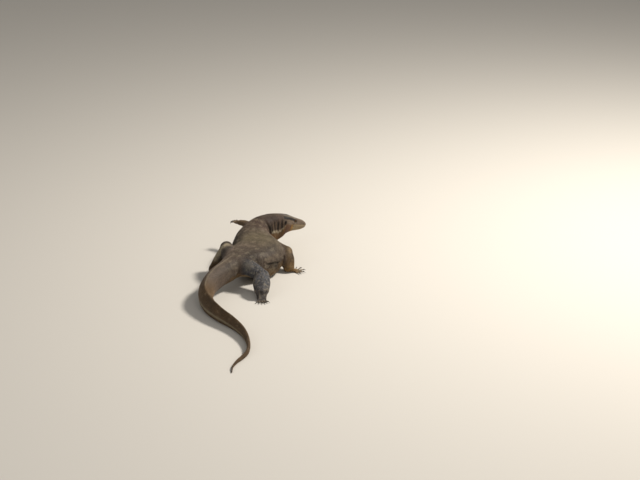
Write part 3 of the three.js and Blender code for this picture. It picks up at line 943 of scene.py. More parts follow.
class Markings:
    """How strongly each marking shows at points of the skin, from 0 to 1.

    dark and pale are the pattern's two ends and also carry painted shade and painted
    highlights; slate is the limbs' grey, warm the tan of lips, throat and belly, rosy the
    cheeks, and olive the tint of the back.
    """

    def __init__(self, points):
        self.points = points
        self.marks = {name: np.zeros(len(points)) for name in MARKS}
        tube, index, angle, outside = owners(points)
        spine, place, down = tube == 0, spine_place(tube, index), from_top(angle)
        wander, grain = soft_noise(points, 22, 11), soft_noise(points, 5, 12)
        self.trunk(spine, place, down, angle, wander, grain)
        self.neck(spine, place, down, wander, grain)
        self.tail(spine, place, down, wander, grain)
        self.limbs(tube, of_tubes(tube, index, "along"))
        self.head()

    def lay(self, name, amount):
        """Puts a marking on where it is stronger than what is there."""
        self.marks[name] = np.maximum(self.marks[name], amount)

    def clear(self, amount, *names):
        for name in names:
            self.marks[name] *= 1 - amount

    def deepen(self, amount):
        """Darkens on top of the pattern that is there."""
        self.marks["dark"] = 1 - (1 - self.marks["dark"]) * (1 - np.clip(amount, 0, 1))

    def trunk(self, spine, place, down, angle, wander, grain):
        lay, deepen = self.lay, self.deepen
        trunk = spine * window(place, 190, 230, 660, 740)
        right = np.cos(angle) > 0
        belly = ease(down + 4 * wave(place, 38) + 5 * wander, 104, 126)
        lay("warm", trunk * belly * 0.6)
        lay("pale", trunk * ease(down + 9 * wave(place, 34) + 6 * wander, 128, 150) * 0.5)
        row = wave(place + 6 * wander, 47)
        spots = ease(row + 1.1 * wave(down, 26) + 0.3 * grain, 1.0, 1.7)
        mottle = soft_noise(self.points, 12, 13)
        lay("pale", trunk * spots * 0.24 * (1 - belly))
        lay("dark", trunk * ease(-row + 0.5 * wander, 0.5, 1.3) * 0.24 * (1 - belly))
        lay("dark", trunk * ease(grain + 0.4 * wander, 0.2, 0.8) * 0.42)
        lay("dark", trunk * ease(mottle, 0.1, 0.6) * 0.3)
        lay("pale", trunk * ease(-grain - 0.3 * wander, 0.3, 0.8) * 0.2)
        lay("pale", trunk * ease(-mottle, 0.15, 0.6) * 0.14)
        lay("dark", trunk * ease(down, 88, 108) * ease(place, 360, 410) * 0.42)
        shoulder = spine * window(place, 190, 215, 285, 330)
        lay("rosy", shoulder * 0.4)
        for middle, low, long, high, amount in (
            (474, 52, 38, 25, 0.62),  # above the flank's fold
            (545, 36, 38, 26, 0.42),  # ahead of the hips
            (690, 56, 62, 42, 0.45),  # the root of the tail
        ):
            deepen(spine * right * local_spot(place, down, middle, low, long, high) * amount)
        deepen(local_hill(self.points, (68, -12, 112), (46, 56, 26)) * 0.72)  # the right hip
        # painted shade: the left flank darkened as on the side away from the light
        shaded_left_flank = spine * ~right * window(place, 285, 320, 420, 480)
        deepen(shaded_left_flank * ease(down, 22, 44) * (0.6 + 0.2 * grain))
        deepen(shoulder * 0.32)
        # painted shade in the right flank's fold and on the belly under its bulge
        inside = spine * window(place, 415, 450, 500, 520) * right
        deepen(inside * hill(off_fold(place, angle), 3.2) * 0.9)
        deepen(inside * hill(off_fold(place, angle) + 13, 12) * 0.62)
        patch = spine * hill(place - 415, 75) * hill(down - 12, 45)
        lay("olive", patch * 0.8)
        lay("pale", patch * 0.08)

    def neck(self, spine, place, down, wander, grain):
        """Bars down the neck's side, the pale chain under them, and the brown throat."""
        lay = self.lay
        neck = spine * window(place, 108, 120, 222, 240)
        lay("rosy", neck * ease(down, 10, 40) * 0.5)
        lay("dark", neck * ease(down, 4, 36) * (0.42 + 0.15 * wander))
        # painted shade in the hollow between neck and shoulder
        hollow = local_spot(place, down, 203, 84, 19, 27)
        lay("dark", spine * hollow * (0.95 + 0.1 * grain))
        slant = place - 0.3 * ease(place, 120, 180) * (down - 84) + 2.5 * wander
        beat = np.interp(slant, BARS, np.arange(len(BARS)))
        bars = ease(wave(beat, 1) + 0.4 * grain + 0.2 * wander, -0.35, 0.55)
        sides = neck * ease(down + 6 * grain, 52, 78) * (1 - ease(down, 103, 111))
        lay("dark", sides * (0.45 + 0.5 * bars))
        lay("olive", sides * 0.7)
        off = down - 90 - np.interp(place, *NECK_CHAIN.T) + 2.2 * wave(place, 15)
        shown = spine * (0.45 * ease(place, 102, 110) + 0.55 * ease(place, 116, 128))
        chain = hill(off, 3.3) * shown * (1 - ease(place, 186, 198))
        under = ease(off, 1.5, 6) * spine * window(place, 96, 112, 200, 240)
        lay("warm", under * 0.95)
        lay("dark", under * (0.06 + 0.25 * ease(wave(place + 4 * wander, 21), 0.1, 0.8)))
        above = spine * window(place, 130, 150, 225, 245)
        self.deepen(above * (1 - ease(down, 60, 80)) * 0.42)
        self.clear(0.95 * chain, "dark")
        lay("pale", chain)

    def tail(self, spine, place, down, wander, grain):
        """A dark tail with faint bands, its dark partly painted shade, a pale line along its side,
        and a pale ridge that is a painted highlight.
        """
        lay = self.lay
        tail = spine * ease(place, 825, 930)
        bands = ease(wave(place + 9 * wander, 66) + 0.5 * grain, 0.7, 1.2)
        spots = bands * hill(np.mod(down, 40) / 40 - 0.5, 0.3)
        lay("pale", tail * spots * 0.16)
        lay("warm", spine * ease(place, 780, 920) * 0.34)
        # the tail's dark: partly its own colour, partly painted shade
        lay("dark", tail * (0.5 - 0.3 * spots + 0.1 * grain))
        line = np.interp(place, (850, 990, 1120, 1230), (102, 108, 112, 112))
        side_line = spine * hill(down - line - 2 * wander, 9) * window(place, 860, 930, 1270, 1340)
        self.clear(0.9 * side_line, "dark", "warm")
        lay("olive", side_line)
        lay("pale", side_line * 0.55)
        # painted highlight along the ridge from the hips to the tail's root
        lay("pale", spine * hill(down, 5) * window(place, 590, 660, 850, 890) * 0.5)

    def limbs(self, tube, along):
        """Slate limbs in a fine dark net, each with tints of its own, painted shade and painted
        highlights, and banded toes.
        """
        lay, deepen, clear, points = self.lay, self.deepen, self.clear, self.points
        limb = np.flatnonzero(tube > 0)
        rise = np.zeros(len(points))
        rise[limb] = ease(SPINE_TUBE.locate(points[limb])[2], 1, 24)
        fore, other, hind, left = (rise * on_tubes(tube, name) for name in LEGS)
        first, second = cells(points, 8, 21)
        net = 1 - ease(second - first, 0.3, 2.0)
        blotch = ease(soft_noise(points, 11, 31) + 0.4 * soft_noise(points, 4, 32), -0.1, 0.35)
        streaks = ease(soft_noise(points * (1, 1, 0.4), 4.5, 33), 0.0, 0.45)
        glints = ease(soft_noise(points * (1, 1, 0.4), 4.5, 34), 0.1, 0.5)
        lay("slate", rise * (0.5 + 0.5 * ease(points[:, 2], 25, 65)))
        lay("dark", rise * net * 0.4)
        lay("pale", rise * (1 - ease(first, 0.7, 2.2)) * 0.25)
        # painted highlights: pale spots where the right knee and thigh catch the light, and pale
        # glints among the leg's streaks
        lit = local_hill(points, (83, -120, 62), (12, 14, 13))
        lit += 0.6 * local_hill(points, (60, -70, 100), (20, 24, 14))
        deepen(hind * streaks * 0.5 * (1 - lit))
        lay("pale", hind * glints * (1 - streaks) * 0.4)
        clear(0.8 * hind * lit, "dark")
        lay("pale", hind * lit * 0.55)
        # painted shade over the right foreleg, less towards the ground, with a painted highlight on
        # its elbow
        low = ease(points[:, 2], 70, 20)
        elbow_highlight = local_hill(points, (217, 176, 80), (12, 24, 14))
        lay("warm", fore * 0.76)
        deepen(fore * (0.86 - 0.64 * low) * (0.85 + 0.4 * streaks))
        clear(0.8 * fore * elbow_highlight, "dark")
        lay("pale", fore * (0.3 * elbow_highlight + 0.1 * blotch))
        lay("warm", other * 0.5)
        # painted shade: the left foreleg darkened
        lay("dark", other * (0.3 + 0.2 * streaks))
        # painted shade over the left hind leg away from its rim; the pale rim is partly the leg's
        # pale spots, partly a painted highlight
        rim = hill(rim_distance(points), 15)
        deepen(left * (1 - rim) * 0.68)
        lay("warm", left * (0.25 + 0.5 * ease(points[:, 2], 75, 50)))
        clear(left * rim * (0.5 + 0.5 * blotch), "dark")
        lay("pale", left * np.minimum(1, 2 * rim * (0.5 + 0.5 * blotch)))
        lay("olive", left * rim * 0.5)
        toes = on_tubes(tube, "toe") * ease(along, 0, 12)
        front = fore + other > 0
        clear(0.5 * toes, "dark")
        lay("warm", toes * np.where(front, 0.55, 0.15))
        lay("pale", toes * (np.where(front, 0.25, 0.05) + 0.35 * ease(wave(along, 7.5), 0.2, 0.8)))

    def head(self):
        lay, clear, local = self.lay, self.clear, mirrored(self.points)
        ahead, side, lift = local.T
        head = (ahead > -30) & (side < 48) & (np.abs(lift) < 80)
        off = lift - lip_height(ahead)
        jaw = head * ease(ahead, 16, 34) * (1 - ease(off, 3.5, 7.5))
        clear(0.9 * jaw, "dark")
        lay("warm", jaw)
        # the jaw's pale is partly its own colour and partly painted light thrown up from the ground
        lay("pale", jaw * 0.7 * ease(ahead, 30, 46))
        lay("dark", jaw * ease(wave(ahead + 0.4 * off, 12.5), 0.5, 0.95) * 0.4 * (off > -7))
        corner = head * window(ahead, -8, 6, 20, 36) * (1 - ease(lift, -7, 0))
        lay("rosy", corner * 0.8)
        lay("warm", corner * 0.6)
        cheek = head * hill(ahead - 22, 20) * hill(lift - 7, 9) * ease(side, 12, 20)
        lay("rosy", cheek * 0.5)
        lay("pale", cheek * 0.28)
        # the streak from the eye over the ear, partly the animal's dark stripe and partly painted
        # shade under the brow, with a pale rim that is a painted highlight and the grey crown above
        # it
        line = np.interp(ahead, (-11, 2, 16, 30, 40), (22.5, 22, 21.5, 19, 15.5))
        streak = head * ease(hill(lift - line, 5.6), 0.2, 0.6) * ease(side, 14, 18)
        streak *= window(ahead, -18, -8, 38, 46)
        clear(0.8 * streak, "rosy", "pale")
        lay("dark", streak)
        rim = hill(lift - line - 7.5, 2.8) * window(ahead, -14, -4, 52, 66)
        lay("pale", head * rim * ease(side, 8, 12) * 0.5)
        lay("slate", head * ease(lift - line, 3, 9) * (1 - ease(ahead, 52, 66)) * 0.6)
        # painted shade in the ear opening and the nostril
        in_ear = np.hypot((ahead - EAR[0]) / 5.2, (lift - EAR[2]) / 10)
        ear = head * (1 - ease(in_ear, 0.6, 1.25)) * (side > 20)
        clear(ear, "rosy", "pale", "warm")
        lay("dark", ear)
        in_nostril = np.hypot((ahead - NOSTRIL[0]) / 2.7, (lift - NOSTRIL[2]) / 1.8)
        lay("dark", head * (1 - ease(in_nostril, 0.7, 1.1)) * (side > 6))
        snout = head * ease(ahead, 50, 66) * ease(off, 5, 9)
        lay("rosy", snout * 0.4)
        lay("pale", snout * 0.22)
        lay("dark", head * (1 - ease(away(local, EYE_CENTRE), 7.4, 9.4)) * 0.85)
        spot = head * local_hill(local, (47, 25, 4.5), (4.5, 6, 2.2))
        clear(0.9 * spot, "dark")
        lay("pale", spot * 0.9)
        lay("dark", head * hill(off, 1.4) * ease(ahead, 14, 22) * ease(side, 5, 11) * 0.8)


# The pale chain under the neck's bars: places along the spine and degrees below level.
NECK_CHAIN = np.array([
    (104, 8), (112, 14), (122, 20), (134, 23), (144, 23), (156, 19), (175, 17), (192, 14),
], float)

# The pale outer rim of the left hind leg, down the thigh and shin: partly the leg's pale spots and
# partly a painted highlight.
LEFT_RIM = np.array([
    (-34, 100, 132), (-45, 92, 124), (-57, 104, 112), (-70, 114, 90), (-80, 109, 76),
], float)


def rim_distance(points):
    nearest = np.full(len(points), 1e6)
    for start, end in zip(LEFT_RIM[:-1], LEFT_RIM[1:]):
        way = end - start
        t = np.clip((points - start) @ way / (way @ way), 0, 1)
        nearest = np.minimum(nearest, away(points - start, t[:, None] * way))
    return nearest


def on_tubes(tube, word):
    """Which points lie on a tube with the word in its name."""
    return np.isin(tube, [i for i, t in enumerate(ALL_TUBES) if word in t.name])


# ------------------------------------------------------------------ meshes and attributes

def make_mesh(name, points, faces):
    """A smooth mesh in the row frame, from points in the pose's frame."""
    mesh = bpy.data.meshes.new(name)
    mesh.from_pydata(to_row(points), [], faces, shade_flat=False)
    return mesh


def link(name, data):
    item = bpy.data.objects.new(name, data)
    bpy.context.scene.collection.objects.link(item)
    return item


def add_piece(mesh, material, replaced=()):
    piece = link(mesh.name, mesh)
    mesh.materials.append(material)
    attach(piece, "root")
    if replaced:
        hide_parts(*replaced)


def set_vectors(mesh, name, x, y, z):
    """Three numbers for each point of the mesh, as a named attribute."""
    layer = mesh.attributes.new(name, "FLOAT_VECTOR", "POINT")
    values = np.stack([x, y, z], axis=1)
    layer.data.foreach_set("vector", values.astype(np.float32).ravel())


def set_map(mesh, uv):
    layer = mesh.uv_layers.new(name="OFBake")
    layer.data.foreach_set("uv", uv.astype(np.float32).ravel())


def give_marks(mesh, marks, tone, crown, worn):
    """The markings and the grain, for the hide's material."""
    set_vectors(mesh, "marks_a", *(marks[name] for name in MARKS[:3]))
    set_vectors(mesh, "marks_b", *(marks[name] for name in MARKS[3:]))
    set_vectors(mesh, "grain", tone, crown, worn)


def wear(points):
    """Where dust settles and scales are rubbed: more on the back than on the tail."""
    return 0.25 + 0.75 * ease(points[:, 1], -260, -60)


# ------------------------------------------------------------------ materials

def linear(code):
    """A web colour as linear red, green and blue."""
    parts = [int(code[i : i + 2], 16) / 255 for i in (1, 3, 5)]
    return (*[c / 12.92 if c <= 0.04045 else ((c + 0.055) / 1.055) ** 2.4 for c in parts], 1)


class Graph:
    """A short way to write a material's nodes."""

    def __init__(self, name, **constants):
        self.material = bpy.data.materials.new(name)
        self.material.use_nodes = True
        self.tree = self.material.node_tree
        self.inputs = self.tree.nodes["Principled BSDF"].inputs
        for key, value in constants.items():
            self.inputs[key.replace("_", " ")].default_value = value

    def node(self, kind, inputs, **settings):
        made = self.tree.nodes.new(kind)
        for key, value in settings.items():
            setattr(made, key, value)
        for key, value in inputs.items():
            self.feed(made.inputs[key], value)
        return made

    def feed(self, socket, value):
        if isinstance(value, bpy.types.NodeSocket):
            self.tree.links.new(value, socket)
        else:
            socket.default_value = value

    def times(self, a, b):
        return self.node("ShaderNodeMath", {0: a, 1: b}, operation="MULTIPLY").outputs[0]

    def line(self, value, slope, start):
        inputs = {0: value, 1: slope, 2: start}
        return self.node("ShaderNodeMath", inputs, operation="MULTIPLY_ADD").outputs[0]

    def mix(self, share, a, b, blend="MIX"):
        inputs = {0: share, 6: a, 7: b}
        settings = {"data_type": "RGBA", "blend_type": blend}
        return self.node("ShaderNodeMix", inputs, **settings).outputs[2]

    def attribute(self, name):
        made = self.node("ShaderNodeAttribute", {}, attribute_name=name)
        return self.node("ShaderNodeSeparateXYZ", {0: made.outputs["Vector"]}).outputs

    def noise(self, scale, detail=3.0, roughness=0.55):
        where = self.node("ShaderNodeTexCoord", {}).outputs["Object"]
        inputs = {"Vector": where, "Scale": scale, "Detail": detail, "Roughness": roughness}
        return self.node("ShaderNodeTexNoise", inputs).outputs["Fac"]

    def range(self, value, low, high, to_low=0.0, to_high=1.0):
        inputs = {0: value, 1: low, 2: high, 3: to_low, 4: to_high}
        return self.node("ShaderNodeMapRange", inputs).outputs[0]

    def finish(self, colour, roughness=None, bump=()):
        """Feeds the shader. A bump has its height, strength and distance."""
        self.feed(self.inputs["Base Color"], colour)
        if roughness:
            self.feed(self.inputs["Roughness"], roughness)
        if bump:
            inputs = dict(zip(("Height", "Strength", "Distance"), bump))
            self.feed(self.inputs["Normal"], self.node("ShaderNodeBump", inputs).outputs[0])
        return self.material


COLOURS = {
    "back": "#6c5d50",
    "slate": "#696b71",
    "olive": "#74694c",
    "warm": "#ab7e31",
    "rosy": "#7b5c4d",
    "dark": "#231b16",
    "pale": "#b0a389",
    "dust": "#958473",
}


def hide_material(name, bump_height):
    """Dry, dusty scaled skin: markings on the ground colour, scales lighter at their crowns, and
    painted shade towards their bases and on the skin between them.
    """
    g = Graph(name, Specular_IOR_Level=0.22)
    shade = {key: linear(code) for key, code in COLOURS.items()}
    dark, pale, slate = g.attribute("marks_a")
    warm, rosy, olive = g.attribute("marks_b")
    tone, crown, wear = g.attribute("grain")
    blotch = g.range(g.noise(22, 4), 0.35, 0.7, 0.0, 0.35)
    colour = shade["back"]
    for share, key in (
        (slate, "slate"), (olive, "olive"), (warm, "warm"), (rosy, "rosy"),
        (blotch, "dark"), (dark, "dark"), (pale, "pale"),
    ):
        colour = g.mix(share, colour, shade[key])
    normal = g.node("ShaderNodeNewGeometry", {}).outputs["Normal"]
    up = g.node("ShaderNodeSeparateXYZ", {0: normal}).outputs[2]
    dust = g.times(g.range(up, 0.1, 0.9), g.range(g.noise(60, 5), 0.3, 0.75))
    for value, slope, start in ((wear, 0.3, 0.12), (dark, -0.95, 1.0), (slate, -0.5, 1.0)):
        dust = g.times(dust, g.line(value, slope, start))
    colour = g.mix(dust, colour, shade["dust"])
    # painted shade: darker towards each scale's base and on the skin between the scales, where crown
    # is 0
    grey = g.times(g.line(tone, 0.5, 0.72), g.range(crown, 0.0, 1.0, 0.55, 1.08))
    grey = g.node("ShaderNodeCombineColor", {0: grey, 1: grey, 2: grey}).outputs[0]
    colour = g.mix(1.0, colour, grey, "MULTIPLY")
    rough = g.line(g.noise(300, 3), 0.3, 0.4)
    fine = g.line(g.noise(2600, 2), 0.5, g.noise(700, 3))
    return g.finish(colour, rough, (fine, 0.5, bump_height))


def eye_material():
    """Black pupil, brown iris with a golden ring, and a wet, clear front."""
    g = Graph("eye", Roughness=0.25, Specular_IOR_Level=0.1, Coat_Weight=0.5, Coat_Roughness=0.02)
    off = g.attribute("iris")[0]
    iris = g.mix(g.range(g.noise(1500, 4, 0.7), 0.3, 0.7), linear("#1c0e06"), linear("#4a2a10"))
    gold = g.times(g.range(off, 19.0, 21.5), g.range(off, 25.0, 22.0))
    iris = g.mix(g.times(gold, 0.75), iris, linear("#b07f2c"))
    colour = g.mix(g.range(off, 18.5, 20.0), linear("#020202"), iris)
    return g.finish(g.mix(g.range(off, 44.0, 52.0), colour, linear("#120c08")))


def claw_material():
    """Dark horn, paler and scuffed towards the tip."""
    g = Graph("claw")
    along = g.attribute("horn")[0]
    scuff = g.range(g.noise(900, 4), 0.4, 0.75)
    colour = g.mix(g.times(along, 0.5), linear("#1d1916"), linear("#4a4036"))
    colour = g.mix(g.times(scuff, 0.5), colour, linear("#6a5d4d"))
    rough = g.range(scuff, 0.0, 1.0, 0.28, 0.55)
    return g.finish(colour, rough, (g.noise(1800, 2), 0.3, 0.0002))


# ------------------------------------------------------------------ skin

FLESH = [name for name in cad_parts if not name.startswith(("eye_", "claw_"))]


class Skin:
    """The finished skin, with what the scales need to find their places on it."""

    def __init__(self):
        mesh, bm = make_skin_mesh()
        self.points, self.normals = read_points(bm), read_normals(bm)
        write_points(bm, to_row(self.points))
        bm.to_mesh(mesh)
        bm.free()
        mesh.polygons.foreach_set("use_smooth", np.ones(len(mesh.polygons), bool))
        faces = [list(f.vertices) for f in mesh.polygons]
        self.corners = np.array([(f + f[:1] * 4)[:4] for f in faces])
        self.tree = BVHTree.FromPolygons(self.points.tolist(), faces)
        set_map(mesh, unwrap_mesh(faces, self.points))
        tone = 0.5 + 0.5 * soft_noise(self.points, 3, 7)
        # crown 0: the material darkens the skin between the scales as painted shade
        give_marks(mesh, Markings(self.points).marks, tone, 0 * tone, wear(self.points))
        add_piece(mesh, hide_material("hide_under_scales", 0.0006), FLESH)

    def snap(self, points):
        """The nearest places on the skin, their smooth normals, and how far off they were."""
        found = [self.tree.find_nearest(p) for p in points]
        places = np.array([f[0] for f in found])
        corners = self.corners[[f[2] for f in found]]
        near = np.linalg.norm(self.points[corners] - places[:, None], axis=2)
        share = 1 / (near + 0.2) ** 2
        normals = unit(np.einsum("ij,ijk->ik", share, self.normals[corners]))
        return places, normals, np.array([f[3] for f in found])


# ------------------------------------------------------------------ scales

HEAD_END = 105  # place along the spine where the head's plates give way to rows
SEED = 20
HEAD_PICKS = 60000  # places tried for the head's plates


def scale_size(number, place):
    """Length and width of a scale, from row to row and side to side."""
    name = ALL_TUBES[number].name
    if number == 0:
        marks = (90, 130, 200, 300, 620, 760, 1000, 1300, PLACE["tailTip"])
        long = np.interp(place, marks, (2.9, 3.3, 3.5, 3.6, 3.8, 4.6, 4.6, 3.8, 2.6))
        wide = np.interp(place, marks, (2.7, 3.0, 3.3, 3.5, 3.6, 3.6, 3.2, 2.6, 1.7))
        return long, wide
    if "toe" in name:
        return 2.2, 2.1
    if "palm" in name:
        return 2.6, 2.4
    return 3.3, 3.1


def scale_rows(number, start):
    """Places for scales in rows round a tube: each row is half a scale out of step."""
    tube = ALL_TUBES[number]
    end, last = tube.along[-1], len(tube.along) - 1
    overrun = 0 if number == 0 else tube.up.max() + 2
    place, rows, odd = start - overrun, [], 0
    around = np.linspace(0, TAU, 73)
    while place < end + overrun:
        long, wide = scale_size(number, place)
        index = int(np.clip(round(place / end * last), 0, last))
        lengths = distances(tube.ring(np.full(73, index), around))
        count = max(int(round(lengths[-1] / wide)), 6)
        steps = (np.arange(count) + 0.5 * odd) / count * lengths[-1]
        angles = np.interp(steps, lengths, around)
        beyond = place - tube.along[index]
        spots = tube.ring(np.full(count, index), angles) + tube.heading[index] * beyond
        rows.append(np.column_stack([spots, np.full(count, long), np.full(count, wide)]))
        place += long * 0.9
        odd = 1 - odd
    return np.concatenate(rows)


STREW_CELL = 4.0  # grid step of the search, above the largest strewn scale
NEIGHBOURS = [(a - 1, b - 1, c - 1) for a, b, c in np.ndindex(3, 3, 3)]


def strew(points, sizes, generator):
    """Picks points in a random order, each kept only if none kept is closer than its size."""
    grid, kept = {}, []
    places, sizes = points.tolist(), sizes.tolist()

    def crowded(i, cell):
        x, y, z = places[i]
        for a, b, c in NEIGHBOURS:
            for j in grid.get((cell[0] + a, cell[1] + b, cell[2] + c), ()):
                u, v, w = places[j]
                reach = 0.5 * (sizes[i] + sizes[j])
                if (u - x) ** 2 + (v - y) ** 2 + (w - z) ** 2 < reach**2:
                    return True
        return False

    for i in generator.permutation(len(points)):
        cell = tuple(int(v // STREW_CELL) for v in places[i])
        if not crowded(i, cell):
            grid.setdefault(cell, []).append(i)
            kept.append(i)
    return np.array(kept, int)


def head_scale_size(local):
    """Size of the head's plates: tiny on the lids, large along the lips and on top."""
    ahead, side, lift = local.T
    size = np.full(len(local), 2.5)
    size[(np.abs(lift - lip_height(ahead)) < 5.5) & (ahead > 15)] = 3.1
    size[(lift > 15) & (ahead < 84)] = 2.9
    size[ahead > 92] = 2.1
    eye = away(local, EYE_CENTRE)
    size = np.where(eye < 9.2, 1.1, np.where(eye < 12.8, 1.6, size))
    return np.where((away(local, EAR) < 10) | (away(local, NOSTRIL) < 5.4), 1.5, size)


def bare(local):
    """Where no scale grows: inside the lids, the mouth's slit, the ears and nostrils."""
    x, y, z = local.T
    ahead, above = eye_axes()
    off = local - EYE_CENTRE
    q = np.hypot(off @ ahead / 5.4, off @ above / 3.4)
    found = (np.linalg.norm(off, axis=1) < 9.6) & (q < 1.03) & (off @ GAZE > -1)
    found |= (np.abs(z - lip_height(x)) < 0.5) & (x > 14) & ((y > 3) | (x > 92))
    for centre, long, high in ((EAR, 3.2, 5.3), (NOSTRIL, 2.2, 1.4)):
        near = np.hypot((x - centre[0]) / long, (z - centre[2]) / high) < 1
        found |= near & (np.abs(y - centre[1]) < 9)
    return found & (x > -15)


def head_spots(skin, generator):
    """Places for the head's plates, strewn evenly over the skin of the head."""
    middles = skin.points[skin.corners[:, :3]].mean(axis=1)
    chosen = np.flatnonzero(to_head(middles)[:, 0] > -30)
    one, two, three, four = (skin.points[skin.corners[chosen, k]] for k in range(4))
    area = np.linalg.norm(np.cross(three - one, four - two), axis=1)
    picks = generator.choice(len(chosen), HEAD_PICKS, p=area / area.sum())
    a, b = generator.random((2, HEAD_PICKS, 1))
    spots = (1 - a) * (1 - b) * one[picks] + a * (1 - b) * two[picks]
    spots += a * b * three[picks] + (1 - a) * b * four[picks]
    tube, index, angle, outside = owners(spots)
    spots = spots[(tube == 0) & (SPINE_TUBE.along[index] < HEAD_END)]
    sizes = head_scale_size(mirrored(spots))
    kept = strew(spots, sizes * 0.92, generator)
    return np.column_stack([spots[kept], sizes[kept], sizes[kept] * 0.95])


def row_spots(skin):
    """Places for the scales in rows, on all tubes, each only where its tube is the skin."""
    found = []
    for number in range(len(ALL_TUBES)):
        rows = scale_rows(number, HEAD_END + 1 if number == 0 else 0)
        places, normals, off = skin.snap(rows[:, :3])
        tube, index, angle, outside = owners(places)
        good = (tube == number) & (off < 12)
        found.append(np.column_stack([places[good], rows[good, 3:]]))
    return np.concatenate(found)


def fill_gaps(skin, spots, generator):
    """Thins crowded scales, and adds some where folds and joints left the skin bare."""
    tree = make_tree(spots[:, :3])
    keep = np.ones(len(spots), bool)
    for i, row in enumerate(spots):
        if keep[i]:
            close = tree.find_range(row[:3], 0.62 * row[4])
            keep[[j for place, j, d in close if j > i]] = False
    spots = spots[keep]
    tree = make_tree(spots[:, :3])
    near = [tree.find(p) for p in skin.points]
    sizes = spots[[n[1] for n in near], 3:]
    open_skin = np.array([n[2] for n in near]) > 0.78 * sizes.mean(axis=1)
    chosen = np.flatnonzero(open_skin & ~bare(mirrored(skin.points)))
    kept = strew(skin.points[chosen], sizes[chosen].mean(axis=1) * 0.8, generator)
    chosen = chosen[kept]
    return np.concatenate([spots, np.column_stack([skin.points[chosen], sizes[chosen]])])


# One scale: eight points round its edge, the tail end first, and two along its keel.
EDGE_TURN = turns(8)
SCALE_FLAT = np.stack([0.5 * np.cos(EDGE_TURN), 0.5 * np.sin(EDGE_TURN)], axis=1)
SCALE_FLAT[0, 0] = 0.56
SCALE_FLAT[[1, 7], 0] = 0.4
SCALE_FLAT = np.concatenate([SCALE_FLAT, [(-0.2, 0), (0.28, 0)]])
SCALE_RISE = np.array([-0.28] * 8 + [0.72, 1.0])
# how high on the scale each point lies, which the material turns into painted shade towards the base
SCALE_CROWN = np.array([0.0] * 8 + [0.85, 1.0])
SCALE_FACES = np.array(
    [(6, 7, 9), (7, 0, 9), (0, 1, 9), (1, 2, 9), (2, 8, 9), (6, 9, 8)]
    + [(2, 3, 8), (3, 4, 8), (4, 5, 8), (5, 6, 8)]
    + [(0, 7, 6), (0, 6, 5), (0, 5, 4), (0, 4, 3), (0, 3, 2), (0, 2, 1)]
)
SCALE_POINTS = len(SCALE_RISE)
PATCH = 0.003  # size of one scale's patch on the map
MOST_SCALES = 12000  # in one piece: 16 triangles each, under 200,000

# The groups of scales, each with a material slot name that nothing uses: all share one material.
SCALE_GROUPS = {
    "head": "head_skin",
    "neck": "body_skin",
    "trunk": "body_skin",
    "limbs": "limb_skin",
    "tail": "tail_skin",
}
NECK_END = 215  # place along the spine
TAIL_START = -60  # from the hips, along the animal's way


def lay_flat(ways, normals):
    """The part of each way that lies along the skin."""
    return ways - normals * np.einsum("ij,ij->i", ways, normals)[:, None]


def build_scales(skin, spots, generator):
    """Closed scales that lie towards the tail or toes, in pieces by the part they cover."""
    places, normals, off = skin.snap(spots[:, :3])
    tube, index, angle, outside = owners(places)
    place = spine_place(tube, index)
    head = (tube == 0) & (place < HEAD_END)
    tail = (tube == 0) & (places[:, 1] < TAIL_START)
    lie = lay_flat(of_tubes(tube, index, "heading"), normals)
    short = np.linalg.norm(lie, axis=1) < 0.2
    lie[short] += 0.3 * of_tubes(tube[short], index[short], "top")
    lie = unit(lay_flat(lie, normals))
    yaw = generator.normal(0, 0.07, len(spots))[:, None]
    lie = unit(lie + np.cross(normals, lie) * yaw)
    across = np.cross(normals, lie)
    size = spots[:, 3:5] * (1 + generator.normal(0, 0.05, (len(spots), 1)))
    size = size * np.where(head, 1.04, 1.0)[:, None] * (1.08, 0.98)
    height = np.where(head, 0.17, np.where(tail, 0.27, 0.25)) * size[:, 1]
    height = np.minimum(height, COAT)[:, None, None]
    points = (
        places[:, None]
        + lie[:, None] * (SCALE_FLAT[None, :, :1] * size[:, None, :1])
        + across[:, None] * (SCALE_FLAT[None, :, 1:] * size[:, None, 1:])
        + normals[:, None] * (SCALE_RISE[None, :, None] * height)
    )
    root = np.zeros((len(spots), 2))
    for number in np.unique(tube):
        own = tube == number
        along = tube_place(number, index[own], places[own])
        root[own] = unwrap(number, along, belly_turn(angle[own]))
    patch = root[:, None] + SCALE_FLAT[None] * PATCH
    marks = Markings(places).marks
    tone, worn = generator.random(len(spots)), wear(places)
    group = np.select([head, tube > 0, tail, place < NECK_END], [0, 3, 4, 1], 2)
    material = hide_material("hide_scales", 0.0003)
    for number, (name, slot) in enumerate(SCALE_GROUPS.items()):
        rows = np.flatnonzero(group == number)
        parts = max(1, math.ceil(len(rows) / MOST_SCALES))
        for part, own in enumerate(np.array_split(rows, parts)):
            starts = np.arange(len(own))[:, None, None] * SCALE_POINTS
            corners = (starts + SCALE_FACES).reshape(-1, 3)
            title = f"scales_{name}_{part + 1}"
            mesh = make_mesh(title, points[own].reshape(-1, 3), corners.tolist())
            set_map(mesh, patch[own].reshape(-1, 2)[corners.ravel()])
            own_marks = {key: spread(value[own]) for key, value in marks.items()}
            crown = np.tile(SCALE_CROWN, len(own))
            give_marks(mesh, own_marks, spread(tone[own]), crown, spread(worn[own]))
            add_piece(mesh, material)


def spread(values):
    """One value for each scale, given to all its points."""
    return np.repeat(values, SCALE_POINTS)


# ------------------------------------------------------------------ eyes and claws

